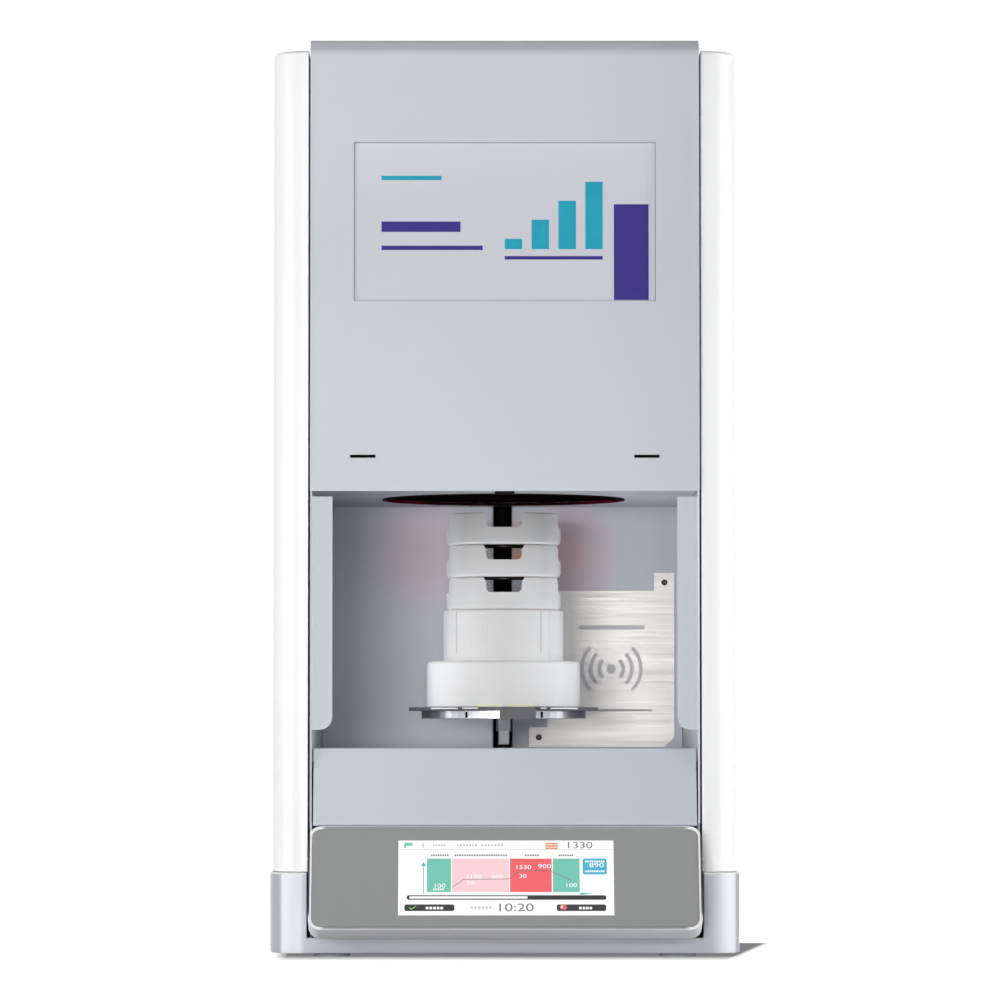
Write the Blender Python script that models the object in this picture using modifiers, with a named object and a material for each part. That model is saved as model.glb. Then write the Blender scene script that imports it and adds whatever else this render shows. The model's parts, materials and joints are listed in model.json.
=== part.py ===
"""Bottom-loading sintering furnace for a dental laboratory.

Metres, +Z up. The front faces -Y, +X is to the right seen from the front, and the origin is
on the ground under the middle of the whole object. A depth counts backwards from the front
plane, the outer face of the upper front panel.
"""
from math import atan2
from math import cos
from math import hypot
from math import pi
from math import radians
from math import sin
from math import tan

import bmesh
import bpy
from mathutils import Matrix
from mathutils import Vector

# Shared clearances and facet counts
GAP = 0.0003
RUNNING_GAP = 0.0003
OVERRUN = 0.002
SHEET = 0.0015
MERGE = 0.00001
ARC_STEPS = 5
ROUND_STEPS = 32
SMALL_STEPS = 16
FILLET_STEPS = 3
SHARP_ANGLE = radians(35)
SOFTEN_ANGLE = radians(40)
SAME_WAY = 0.99

# Cabinet
CABINET_WIDTH = 0.396
CABINET_HEIGHT = 0.776
CABINET_DEPTH = 0.460
DISPLAY_REACH = 0.044
REAR_TRIM = 0.003
CASING_BAND = 0.0316
BAY_FLOOR_TOP = 0.1742
BAY_CEILING = 0.3932
FRONT_Y = DISPLAY_REACH - (CABINET_DEPTH + DISPLAY_REACH) / 2
REAR_Y = FRONT_Y + CABINET_DEPTH
COVER_Y = REAR_Y - REAR_TRIM
CASING_INNER_X = CABINET_WIDTH / 2 - CASING_BAND

# Feet
FOOT_HEIGHT = 0.004
FOOT_DIAMETER = 0.033
FOOT_DRAFT = 0.0015
FOOT_INSET_X = 0.0515
FOOT_INSET_Y = 0.045

# Base tray
BASE_TOP = 0.0714
BASE_WALL = 0.002
BASE_CORNER = 0.029
BASE_LEAD = 0.012
BASE_OPENING_EASE = 0.0002
BASE_BAR_TOP = 0.0172
SHOE_SHELF_REACH = 0.016
BASE_VENT_LENGTH = 0.060
BASE_VENT_WIDTH = 0.005
BASE_VENT_PITCH = 0.012
BASE_VENT_COUNT = 6
BASE_VENT_DEPTH = 0.110
BASE_OPENING_WIDTH = 2 * (CASING_INNER_X - BASE_OPENING_EASE)
BASE_SIDE_X = CABINET_WIDTH / 2
BASE_FLOOR = FOOT_HEIGHT + BASE_WALL

# White side casings
CASING_DROP = 0.008
CASING_INSET = 0.0015
CASING_LEAD_DEPTH = 0.014
CASING_CORNER = 0.026
CASING_EDGE = 0.003
CASING_OUTER_X = BASE_SIDE_X - CASING_INSET
CASING_TOP = CABINET_HEIGHT - CASING_DROP

# Hood: upper front panel bent over into the top
HOOD_SIDE_GAP = 0.0019
HOOD_OVERHANG = 0.0006
HOOD_BEND = 0.011
HOOD_REAR_BEND = 0.003
HOOD_LIP = 0.012
HOOD_CHEEK_DEPTH = 0.044
HOOD_SLOT_WIDTH = 0.0215
HOOD_SLOT_HEIGHT = 0.0025
HOOD_SLOT_INSET = 0.0446
HOOD_SLOT_RISE = 0.0294
HOOD_VENT_COUNT = 9
HOOD_VENT_LENGTH = 0.070
HOOD_VENT_WIDTH = 0.005
HOOD_VENT_PITCH = 0.013
HOOD_VENT_DEPTH = 0.330
HOOD_WIDTH = 2 * (CASING_INNER_X - HOOD_SIDE_GAP)
HOOD_BOTTOM = BAY_CEILING - HOOD_OVERHANG
HOOD_SLOT_X = HOOD_WIDTH / 2 - HOOD_SLOT_INSET
HOOD_SLOT_Z = HOOD_BOTTOM + HOOD_SLOT_RISE

# Badge window in the hood and the plate behind it
BADGE_MARGIN = 0.03675
BADGE_HEIGHT = 0.1347
BADGE_CENTRE_SHARE = 0.5957
BADGE_OVERLAP = 0.006
BADGE_THICKNESS = 0.001
BADGE_WIDTH = HOOD_WIDTH - 2 * BADGE_MARGIN
BADGE_CENTRE_Z = HOOD_BOTTOM + (CABINET_HEIGHT - HOOD_BOTTOM) * BADGE_CENTRE_SHARE

# Loading bay
BAY_REAR_SPACE = 0.145
BAY_LIP = 0.010
BAY_FLOOR_LEAD_DEPTH = 0.0125
SIDE_SHEET = 0.0017
SIDE_LEAD_DEPTH = 0.003
SIDE_NOTCH_TOP = 0.1125
SIDE_NOTCH_DEPTH = 0.0135
FLANGE_WIDTH = 0.019
FLANGE_RISE = 0.0171
FLANGE_DROP = 0.0052
FLANGE_BEND = 0.004
FLANGE_CORNER = 0.0105
BACK_DROP = 0.0842
BACK_RISE = 0.0308
SLOT_WIDTH = 0.0167
SLOT_LIP = 0.008
MOUTH_DIAMETER = 0.2116
SIDE_OUTER_X = HOOD_WIDTH / 2
SIDE_INNER_X = SIDE_OUTER_X - SIDE_SHEET
FLANGE_INNER_X = SIDE_OUTER_X - FLANGE_WIDTH
FLANGE_BOTTOM = BAY_FLOOR_TOP + FLANGE_RISE
FLANGE_TOP = BAY_CEILING - FLANGE_DROP
BACK_BOTTOM = BAY_FLOOR_TOP - BACK_DROP
BACK_TOP = BAY_CEILING + BACK_RISE
BAY_HALF = SIDE_INNER_X - GAP
BACK_Y = REAR_Y - BAY_REAR_SPACE

# Stack on the lift, from the arm up
STACK_DEPTH = 0.165
ARM_WIDTH = 0.012
ARM_RISE = 0.0268
ARM_HEIGHT = 0.011
ARM_GUSSET_WIDTH = 0.008
ARM_GUSSET_HEIGHT = 0.012
ARM_GUSSET_DEPTH = 0.262
ARM_NOSE_WIDTH = 0.031
ARM_NOSE_OFFSET = 0.0115
ARM_NOSE_LENGTH = 0.012
ARM_NOSE_RADIUS = 0.0730
RING_DIAMETER = 0.1436
RING_HEIGHT = 0.0063
RING_WALL = 0.006
RING_NOTCH = 0.0025
RING_NOTCH_X = 0.0325
DISC_DIAMETER = 0.1658
DISC_THICKNESS = 0.003
DISC_CUTS = 6
DISC_CUT_INNER = 0.060
DISC_CUT_OUTER = 0.0755
DISC_CUT_SHARE = 0.62
PLUG_DIAMETER = 0.1338
PLUG_HEIGHT = 0.0397
PLUG_FILLET = 0.003
PEDESTAL_DIAMETER = 0.105
PEDESTAL_HEIGHT = 0.0442
PEDESTAL_EDGE = 0.0015
PEDESTAL_SEAM = 0.0008
PEDESTAL_SEAM_DEPTH = 0.0008
PEDESTAL_SEAM_X = 0.0400
STACK_Y = FRONT_Y + STACK_DEPTH
ARM_TOP = BAY_FLOOR_TOP + ARM_RISE
ARM_BOTTOM = ARM_TOP - ARM_HEIGHT
ARM_GUSSET_BOTTOM = ARM_BOTTOM - ARM_GUSSET_HEIGHT
RING_BOTTOM = ARM_TOP + GAP
RING_TOP = RING_BOTTOM + RING_HEIGHT
DISC_BOTTOM = RING_TOP + GAP
DISC_TOP = DISC_BOTTOM + DISC_THICKNESS
PLUG_BOTTOM = DISC_TOP + GAP
PLUG_TOP = PLUG_BOTTOM + PLUG_HEIGHT
PEDESTAL_BOTTOM = PLUG_TOP + GAP
PEDESTAL_TOP = PEDESTAL_BOTTOM + PEDESTAL_HEIGHT

# Sintering trays
TRAY_COUNT = 3
TRAY_DIAMETER = 0.100
TRAY_HEIGHT = 0.0279
TRAY_WALL = 0.0035
TRAY_FLOOR = 0.0035
TRAY_FOOT_FILLET = 0.004
TRAY_RIM_ROUND = 0.001
TRAY_NOTCH_WIDTH = 0.031
TRAY_NOTCH_MOUTH = 0.036
TRAY_NOTCH_DEPTH = 0.013
TRAY_NOTCH_FLARE = 0.004
TRAY_NOTCH_ROUND = 0.004

# Lift travel and the chamber above it
LIFT_HEADROOM = 0.0022
SEAL_GAP = 0.001
PAN_WALL = 0.0015
PAN_BORE = 0.141
BORE_CLEARANCE = 0.0013
CHAMBER_SIDE_SPACE = 0.0145
CHAMBER_FRONT_SPACE = 0.017
CHAMBER_REAR_SPACE = 0.002
CHAMBER_ROOF_SPACE = 0.096
HOT_DIAMETER = 0.170
HOT_HEIGHT_SHARE = 0.7156
LIFT_TRAVEL = BAY_CEILING - ARM_TOP - LIFT_HEADROOM
CEILING_TOP = BAY_CEILING + SHEET
CHAMBER_BOTTOM = CEILING_TOP + GAP
PAN_UNDERSIDE = DISC_TOP + LIFT_TRAVEL + SEAL_GAP
PAN_TOP = PAN_UNDERSIDE + PAN_WALL
HOT_FLOOR = PLUG_TOP + LIFT_TRAVEL
CHAMBER_TOP = CABINET_HEIGHT - CHAMBER_ROOF_SPACE
HOT_TOP = HOT_FLOOR + (CHAMBER_TOP - HOT_FLOOR) * HOT_HEIGHT_SHARE
CHAMBER_HALF = BAY_HALF - CHAMBER_SIDE_SPACE
CHAMBER_FRONT = FRONT_Y + CHAMBER_FRONT_SPACE
CHAMBER_REAR = BACK_Y - CHAMBER_REAR_SPACE
LINING_INSET = SHEET + GAP

# Heating elements and what stands on the lid
ELEMENT_COUNT = 4
ELEMENT_CIRCLE = 0.070
ELEMENT_SPREAD = 0.025
ELEMENT_HOT_DIAMETER = 0.006
ELEMENT_COLD_DIAMETER = 0.012
ELEMENT_FOOT_SPACE = 0.0091
ELEMENT_HEAD = 0.0327
ELEMENT_TAPER = 0.008
ELEMENT_COLD_HANG = 0.006
ELEMENT_BORE_GAP = 0.0004
HOLDER_THICKNESS = 0.009
HOLDER_WIDTH = 0.210
THERMOCOUPLE_DIAMETER = 0.006
THERMOCOUPLE_RADIUS = 0.0775
THERMOCOUPLE_HANG = 0.072
THERMOCOUPLE_HEAD_DIAMETER = 0.020
THERMOCOUPLE_HEAD_HEIGHT = 0.018
HOLDER_BOTTOM = CHAMBER_TOP + GAP
HOLDER_TOP = HOLDER_BOTTOM + HOLDER_THICKNESS
ELEMENT_BOTTOM = HOT_FLOOR + ELEMENT_FOOT_SPACE
ELEMENT_TOP = HOLDER_TOP + ELEMENT_HEAD
THERMOCOUPLE_TIP = HOT_TOP - THERMOCOUPLE_HANG

# Lift drive behind the bay
DRIVE_SPACE = 0.045
FRAME_WIDTH = 0.140
FRAME_SHEET = 0.004
FRAME_BACK_SPACE = 0.038
FRAME_FOOT_RISE = 0.0943
FRAME_HEADROOM = 0.002
FRAME_BEND = 0.005
ROD_DIAMETER = 0.012
ROD_SPACING = 0.090
SCREW_DIAMETER = 0.010
SCREW_END_DIAMETER = 0.008
SCREW_END_LENGTH = 0.012
BEARING_DIAMETER = 0.019
BEARING_HEIGHT = 0.005
COUPLING_DIAMETER = 0.019
COUPLING_SEAT = 0.003
COUPLING_HEIGHT = 0.026
COUPLING_GRIP = 0.009
COUPLING_EDGE = 0.001
SHAFT_DIAMETER = 0.008
SHAFT_REACH = 0.010
SHAFT_HOLE_DIAMETER = 0.024
MOTOR_SIDE = 0.056
MOTOR_HEIGHT = 0.060
MOTOR_CORNER = 0.005
MOTOR_WELL_DIAMETER = 0.010
MOTOR_WELL_DEPTH = 0.008
CARRIAGE_WIDTH = 0.122
CARRIAGE_DEPTH = 0.028
CARRIAGE_RISE = 0.0018
CARRIAGE_HEIGHT = 0.044
CARRIAGE_EDGE = 0.002
NUT_DIAMETER = 0.022
NUT_FLANGE_DIAMETER = 0.030
NUT_FLANGE = 0.004
NUT_HEIGHT = 0.014
DRIVE_Y = BACK_Y + DRIVE_SPACE
CARRIAGE_BOTTOM = BAY_FLOOR_TOP + CARRIAGE_RISE
FRAME_LOW = BASE_FLOOR + FRAME_FOOT_RISE - GAP
FRAME_HIGH = CARRIAGE_BOTTOM + CARRIAGE_HEIGHT + LIFT_TRAVEL + FRAME_HEADROOM + FRAME_SHEET
COUPLING_BOTTOM = FRAME_LOW + COUPLING_SEAT
FRAME_FRONT_Y = BACK_Y + SHEET + GAP

# Lower front panel
PANEL_SIDE_GAP = 0.00325
PANEL_TOP = BAY_FLOOR_TOP + GAP + SHEET
PANEL_TOP_DEPTH = 0.010
PANEL_BOTTOM_LEAD = 0.009
PANEL_LIP = 0.012
PANEL_BEND = 0.0018
PANEL_WIDTH = 2 * (SIDE_OUTER_X - PANEL_SIDE_GAP)

# Display: everything here is laid out on the sloping front
DISPLAY_WIDTH = HOOD_WIDTH
DISPLAY_FOOT_Z = 0.0251
DISPLAY_HEAD_Z = 0.1104
DISPLAY_HEAD_LEAD = 0.009
DISPLAY_DEPTH = 0.022
DISPLAY_CORNER = 0.010
DISPLAY_TRIM = 0.0026
DISPLAY_WALL = 0.0025
PLATE_THICKNESS = 0.0012
PLATE_SINK = 0.0004
SCREEN_WIDTH = 0.1802
SCREEN_HEIGHT = 0.0663
SCREEN_THICKNESS = 0.0045
SCREEN_RISE = 0.0132
SCREEN_OFFSET = 0.0007
BOARD_WIDTH = 0.150
BOARD_HEIGHT = 0.060
BOARD_THICKNESS = 0.0016
BOARD_POST_DIAMETER = 0.006
BRACKET_INSET = 0.0245
BRACKET_FOOT_DEPTH = 0.034
BRACKET_LEAD = 0.0092
BRACKET_HEAD_MARGIN = 0.002
BRACKET_BEND = 0.003
BRACKET_WIDTH = DISPLAY_WIDTH - 2 * BRACKET_INSET
PANEL_BOTTOM = DISPLAY_HEAD_Z + GAP
DISPLAY_TILT = atan2(DISPLAY_REACH - DISPLAY_HEAD_LEAD, DISPLAY_HEAD_Z - DISPLAY_FOOT_Z)
DISPLAY_HEIGHT = hypot(DISPLAY_REACH - DISPLAY_HEAD_LEAD, DISPLAY_HEAD_Z - DISPLAY_FOOT_Z)

# Sensor plate on the back wall of the bay
SENSOR_SIDE_GAP = 0.0072
SENSOR_FLOOR_GAP = 0.0017
SENSOR_ARM_SPACE = 0.0180
SENSOR_HEIGHT = 0.1413
SENSOR_TAB = 0.0163
SENSOR_TAB_WIDTH = 0.0181
SENSOR_FOOT_TAB = 0.0181
SENSOR_CHAMFER = 0.009
SENSOR_THICKNESS = 0.0012
SENSOR_SCREW_DIAMETER = 0.0055
SENSOR_SCREW_HEAD = 0.0012
SENSOR_SCREW_INSET = 0.0088
SENSOR_RIGHT = BAY_HALF - SENSOR_SIDE_GAP
SENSOR_LEFT = ARM_WIDTH / 2 + SENSOR_ARM_SPACE + SENSOR_TAB
SENSOR_BOTTOM = BAY_FLOOR_TOP + SENSOR_FLOOR_GAP
SENSOR_TOP = SENSOR_BOTTOM + SENSOR_HEIGHT

# Rear cover, fan, inlet and switch
REAR_LIP = 0.012
LOUVRE_COUNT = 8
LOUVRE_LENGTH = 0.085
LOUVRE_WIDTH = 0.004
LOUVRE_PITCH = 0.012
LOUVRE_DROP = 0.176
LOUVRE_X = 0.070
LOUVRE_BOTTOM = CABINET_HEIGHT - LOUVRE_DROP
FAN_SIDE = 0.080
FAN_DEPTH = 0.025
FAN_BORE = 0.074
FAN_CORNER = 0.004
FAN_INSET = 0.0695
FAN_X = FAN_INSET - SIDE_OUTER_X
FAN_Z = 0.150
FAN_HUB_DIAMETER = 0.030
FAN_HUB_HEIGHT = 0.018
FAN_BLADES = 7
FAN_BLADE_THICKNESS = 0.0016
FAN_BLADE_TILT = radians(38)
FAN_CHORD_SHARE = 0.8
FAN_TIP_CLEARANCE = 0.002
FAN_STRUT_WIDTH = 0.006
FAN_STRUT_DEPTH = 0.003
FAN_SEAT_DIAMETER = 0.032
GRILLE_DIAMETER = 0.078
GRILLE_WIRE = 0.0022
GRILLE_RINGS = 3
INLET_INSET = 0.0595
INLET_X = SIDE_OUTER_X - INLET_INSET
INLET_Z = 0.130
INLET_WIDTH = 0.030
INLET_HEIGHT = 0.062
INLET_FLANGE = 0.004
INLET_FLANGE_THICKNESS = 0.0022
INLET_DEPTH = 0.030
SOCKET_WIDTH = 0.024
SOCKET_HEIGHT = 0.0165
SOCKET_DEPTH = 0.016
SOCKET_RISE = 0.008
SOCKET_CORNER = 0.005
PIN_WIDTH = 0.002
PIN_HEIGHT = 0.004
PIN_LENGTH = 0.012
PIN_PITCH = 0.007
PIN_OFFSET = 0.0015
ROCKER_WIDTH = 0.013
ROCKER_HEIGHT = 0.019
ROCKER_THICKNESS = 0.008
ROCKER_RISE = 0.046
ROCKER_TILT = radians(8)
ROCKER_POCKET_GAP = 0.0012
ROCKER_POCKET_DEPTH = 0.010

# Power parts on the base floor
TRANSFORMER_WIDTH = 0.086
TRANSFORMER_DEPTH = 0.072
TRANSFORMER_HEIGHT = 0.078
TRANSFORMER_COIL_WIDTH = 0.058
TRANSFORMER_COIL_DEPTH = 0.094
TRANSFORMER_COIL_HEIGHT = 0.046
TRANSFORMER_COIL_ROUND = 0.0094
TRANSFORMER_INSET = 0.113
TRANSFORMER_X = TRANSFORMER_INSET - BASE_SIDE_X
TRANSFORMER_Y_DEPTH = 0.200
RELAY_WIDTH = 0.045
RELAY_LENGTH = 0.058
RELAY_HEIGHT = 0.026
RELAY_FIN_COUNT = 7
RELAY_FIN_HEIGHT = 0.022
RELAY_SINK_BASE = 0.006
RELAY_SINK_WIDTH = 0.080
RELAY_SINK_LENGTH = 0.090
RELAY_FIN = 0.002
RELAY_INSET = 0.118
RELAY_X = BASE_SIDE_X - RELAY_INSET
RELAY_Y_DEPTH = 0.190


def collection(name):
    made = bpy.data.collections.new(name)
    bpy.context.scene.collection.children.link(made)
    return made


def look(name, colour, roughness, metallic=0.0):
    made = bpy.data.materials.new(name)
    made.use_nodes = True
    shader = made.node_tree.nodes["Principled BSDF"]
    shader.inputs["Base Color"].default_value = (*colour, 1.0)
    shader.inputs["Roughness"].default_value = roughness
    shader.inputs["Metallic"].default_value = metallic
    return made


def depth(distance):
    """World Y of a place that far behind the front plane."""
    return FRONT_Y + distance


def empty(name, place, turn=(0.0, 0.0, 0.0)):
    made = bpy.data.objects.new(name, None)
    made.location = place
    made.rotation_euler = turn
    parts.objects.link(made)
    return made


def register(name, mesh, finish, place, parent=None):
    """Makes the object of one piece; its place is counted from its parent's place."""
    made = bpy.data.objects.new(name, mesh)
    if finish is None:
        cutters.objects.link(made)
        made.hide_render = True
        made.display_type = "WIRE"
    else:
        mesh.materials.append(finish)
        parts.objects.link(made)
    made.location = place
    made.parent = parent
    return made


def shade(mesh):
    mesh.shade_smooth()
    mesh.set_sharp_from_angle(angle=SHARP_ANGLE)


def to_mesh(name, bm):
    mesh = bpy.data.meshes.new(name)
    bm.to_mesh(mesh)
    bm.free()
    shade(mesh)
    return mesh


def local(place, parent):
    """A place in the parent's own axes; a piece of a tilted parent is given in them already."""
    if parent is None or parent.rotation_euler.x:
        return Vector(place)
    return Vector(place) - parent.location


def block_mesh(size, along, radius, keep, open_sides, steps=ARC_STEPS):
    """A box about the origin whose edges along one axis are rounded where keep() says so."""
    bm = bmesh.new()
    bmesh.ops.create_cube(bm, size=1.0)
    bmesh.ops.scale(bm, vec=size, verts=bm.verts)
    if radius:
        axis = "XYZ".index(along)
        edges = []
        for edge in bm.edges:
            run = edge.verts[0].co - edge.verts[1].co
            middle = (edge.verts[0].co + edge.verts[1].co) / 2
            if abs(run[axis]) > max(abs(run[i]) for i in range(3) if i != axis) and keep(middle):
                edges.append(edge)
        bmesh.ops.bevel(bm, geom=edges, offset=radius, segments=steps, profile=0.5, affect="EDGES")
    for normal in open_sides:
        faces = [face for face in bm.faces if face.normal.dot(Vector(normal)) > SAME_WAY]
        bmesh.ops.delete(bm, geom=faces, context="FACES")
    return bm


def block(name, low, high, finish=None, along="Z", radius=0.0, keep=lambda middle: True,
          open_sides=(), parent=None):
    """A box between two corners."""
    low = Vector(low)
    high = Vector(high)
    mesh = to_mesh(name, block_mesh(high - low, along, radius, keep, open_sides))
    return register(name, mesh, finish, local((low + high) / 2, parent), parent)


def turned(name, profile, finish=None, place=(0.0, 0.0, 0.0), parent=None, steps=ROUND_STEPS,
           turn=(0.0, 0.0, 0.0)):
    """A round piece: a profile of (radius, height) points swept about the upright axis.

    The profile runs down its outer side, and a piece with a bore closes its profile.
    """
    bm = bmesh.new()
    points = [bm.verts.new((radius, 0.0, height)) for radius, height in profile]
    ring = profile[0][0] > 0 and profile[-1][0] > 0
    for first, second in zip(points, points[1:]):
        bm.edges.new((first, second))
    if ring:
        bm.edges.new((points[-1], points[0]))
    made = register(name, to_mesh(name, bm), finish, local(place, parent), parent)
    made.rotation_euler = turn
    screw = made.modifiers.new("turned", "SCREW")
    screw.steps = steps
    screw.render_steps = steps
    screw.use_merge_vertices = True
    screw.merge_threshold = MERGE
    screw.use_smooth_shade = True
    return made


def rounded(path, radii, closed=False, steps=ARC_STEPS):
    """The path with each inner corner turned into an arc, of one radius or of its own."""
    points = [Vector(point) for point in path]
    count = len(points)
    result = []
    for i, corner in enumerate(points):
        if not closed and i in (0, count - 1):
            result.append(corner)
            continue
        radius = radii if isinstance(radii, float) else radii[i if closed else i - 1]
        before = (points[i - 1] - corner).normalized()
        after = (points[(i + 1) % count] - corner).normalized()
        half = before.angle(after) / 2
        reach = radius / tan(half)
        centre = corner + (before + after).normalized() * (radius / sin(half))
        start = corner + before * reach - centre
        end = corner + after * reach - centre
        for step in range(steps + 1):
            share = step / steps
            result.append(centre + start.lerp(end, share).normalized() * radius)
    return result


def folded(name, path, normal, low, high, finish, thickness=SHEET, side=-1.0, parent=None):
    """Sheet metal: an open path of folds swept along one axis and given its thickness.

    The path lies in the plane across the axis, and side says which side the metal lies on.
    """
    bm = bmesh.new()
    if normal == "X":
        points = [bm.verts.new((low, y, z)) for y, z in path]
        run = Vector((high - low, 0.0, 0.0))
    else:
        points = [bm.verts.new((x, y, low)) for x, y in path]
        run = Vector((0.0, 0.0, high - low))
    edges = [bm.edges.new(pair) for pair in zip(points, points[1:])]
    swept = bmesh.ops.extrude_edge_only(bm, edges=edges)
    bmesh.ops.translate(bm, vec=run, verts=[v for v in swept["geom"] if isinstance(v, bmesh.types.BMVert)])
    made = register(name, to_mesh(name, bm), finish, (0.0, 0.0, 0.0), parent)
    shell(made, thickness, side)
    return made


def shell(target, thickness, side=-1.0):
    solid = target.modifiers.new("thickness", "SOLIDIFY")
    solid.thickness = thickness
    solid.offset = side
    solid.use_even_offset = True


def plate(name, outline, thickness, finish=None, place=(0.0, 0.0, 0.0), turn=(0.0, 0.0, 0.0), parent=None):
    """A flat outline as a filled curve of the given thickness, made a mesh to be cut."""
    curve = bpy.data.curves.new(name, "CURVE")
    curve.dimensions = "2D"
    curve.fill_mode = "BOTH"
    curve.extrude = thickness / 2
    spline = curve.splines.new("POLY")
    spline.points.add(len(outline) - 1)
    for point, corner in zip(spline.points, outline):
        point.co = (corner[0], corner[1], 0.0, 1.0)
    spline.use_cyclic_u = True
    return curve_to_mesh(name, curve, finish, place, turn, parent)


def tube(name, points, diameter, finish=None, factors=None, cyclic=False, parent=None, sides=4):
    """A rod along the points, with its thickness at each point as a factor of the diameter."""
    curve = bpy.data.curves.new(name, "CURVE")
    curve.dimensions = "3D"
    curve.bevel_depth = diameter / 2
    curve.bevel_resolution = sides
    curve.use_fill_caps = True
    spline = curve.splines.new("POLY")
    spline.points.add(len(points) - 1)
    for i, point in enumerate(points):
        spline.points[i].co = (*point, 1.0)
        spline.points[i].radius = factors[i] if factors else 1.0
    spline.use_cyclic_u = cyclic
    return curve_to_mesh(name, curve, finish, (0.0, 0.0, 0.0), (0.0, 0.0, 0.0), parent)


def curve_to_mesh(name, curve, finish, place, turn, parent):
    source = bpy.data.objects.new(name + "_curve", curve)
    parts.objects.link(source)
    bpy.context.view_layer.update()
    graph = bpy.context.evaluated_depsgraph_get()
    mesh = bpy.data.meshes.new_from_object(source.evaluated_get(graph))
    bpy.data.objects.remove(source)
    bm = bmesh.new()
    bm.from_mesh(mesh)
    bmesh.ops.remove_doubles(bm, verts=bm.verts, dist=MERGE)
    bmesh.ops.recalc_face_normals(bm, faces=bm.faces)
    mesh.materials.clear()
    made = register(name, to_mesh(name, bm), finish, place, parent)
    made.rotation_euler = turn
    return made


def combine(target, other, operation="DIFFERENCE"):
    """Cuts the other piece out of the target, or joins it to the target."""
    modifier = target.modifiers.new(other.name, "BOOLEAN")
    modifier.operation = operation
    modifier.solver = "EXACT"
    modifier.object = other
    return target


def soften(target, width, segments=2):
    bevel = target.modifiers.new("edges", "BEVEL")
    bevel.width = width
    bevel.segments = segments
    bevel.limit_method = "ANGLE"
    bevel.angle_limit = SOFTEN_ANGLE


def mirrored(pair):
    """Calls a maker once for each side, with the side's name and its sign along X."""
    return [pair(name, sign) for name, sign in (("left", -1.0), ("right", 1.0))]


def spread(low, high):
    """The same stretch of X seen from either side of the middle plane, in rising order."""
    return min(low, high), max(low, high)


def make_base():
    front = depth(-BASE_LEAD)
    base = block("base_tray", (-BASE_SIDE_X, front, FOOT_HEIGHT), (BASE_SIDE_X, REAR_Y, BASE_TOP),
                 painted_grey, radius=BASE_CORNER, open_sides=[(0, 0, 1)])
    shell(base, BASE_WALL)
    opening = block("base_opening", (-BASE_OPENING_WIDTH / 2, front - OVERRUN, BASE_BAR_TOP),
                    (BASE_OPENING_WIDTH / 2, front + BASE_WALL + OVERRUN, BASE_TOP + OVERRUN))
    combine(base, opening)
    for sign in (-1.0, 1.0):
        low_x, high_x = spread(sign * BASE_OPENING_WIDTH / 2, sign * (BASE_SIDE_X - BASE_WALL / 2))
        shelf = block(f"shoe_shelf_{sign:+.0f}", (low_x, front + BASE_WALL / 2, BASE_TOP - BASE_WALL),
                      (high_x, depth(CASING_LEAD_DEPTH) + SHOE_SHELF_REACH, BASE_TOP),
                      radius=BASE_CORNER - BASE_WALL / 2,
                      keep=lambda middle: middle.x * sign > 0 and middle.y < 0)
        combine(base, shelf, "UNION")
    for i in range(BASE_VENT_COUNT):
        for sign in (-1.0, 1.0):
            x = sign * CABINET_WIDTH / 4
            y = depth(BASE_VENT_DEPTH) + i * BASE_VENT_PITCH
            vent = block(f"base_vent_{i}_{sign:+.0f}",
                         (x - BASE_VENT_LENGTH / 2, y - BASE_VENT_WIDTH / 2, FOOT_HEIGHT - OVERRUN),
                         (x + BASE_VENT_LENGTH / 2, y + BASE_VENT_WIDTH / 2, BASE_FLOOR + OVERRUN))
            combine(base, vent)
    top = FOOT_HEIGHT - GAP
    radius = FOOT_DIAMETER / 2
    for end, y in (("front", front + FOOT_INSET_Y), ("rear", REAR_Y - FOOT_INSET_Y)):
        for side, sign in (("left", -1.0), ("right", 1.0)):
            turned(f"foot_{end}_{side}", [(0.0, top), (radius, top), (radius - FOOT_DRAFT, 0.0), (0.0, 0.0)],
                   dark_rubber, (sign * (BASE_SIDE_X - FOOT_INSET_X), y, 0.0), steps=SMALL_STEPS)


def make_side_casing(side, sign):
    low_x, high_x = spread(sign * CASING_INNER_X, sign * CASING_OUTER_X)
    casing = block(f"side_casing_{side}", (low_x, depth(CASING_LEAD_DEPTH), BASE_TOP + GAP),
                   (high_x, COVER_Y, CASING_TOP), white_enamel, radius=CASING_CORNER,
                   keep=lambda middle: middle.x * sign > 0 and middle.y < 0,
                   open_sides=[(0, 0, -1), (-sign, 0, 0)])
    soften(casing, CASING_EDGE)
    shell(casing, SHEET)


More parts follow.
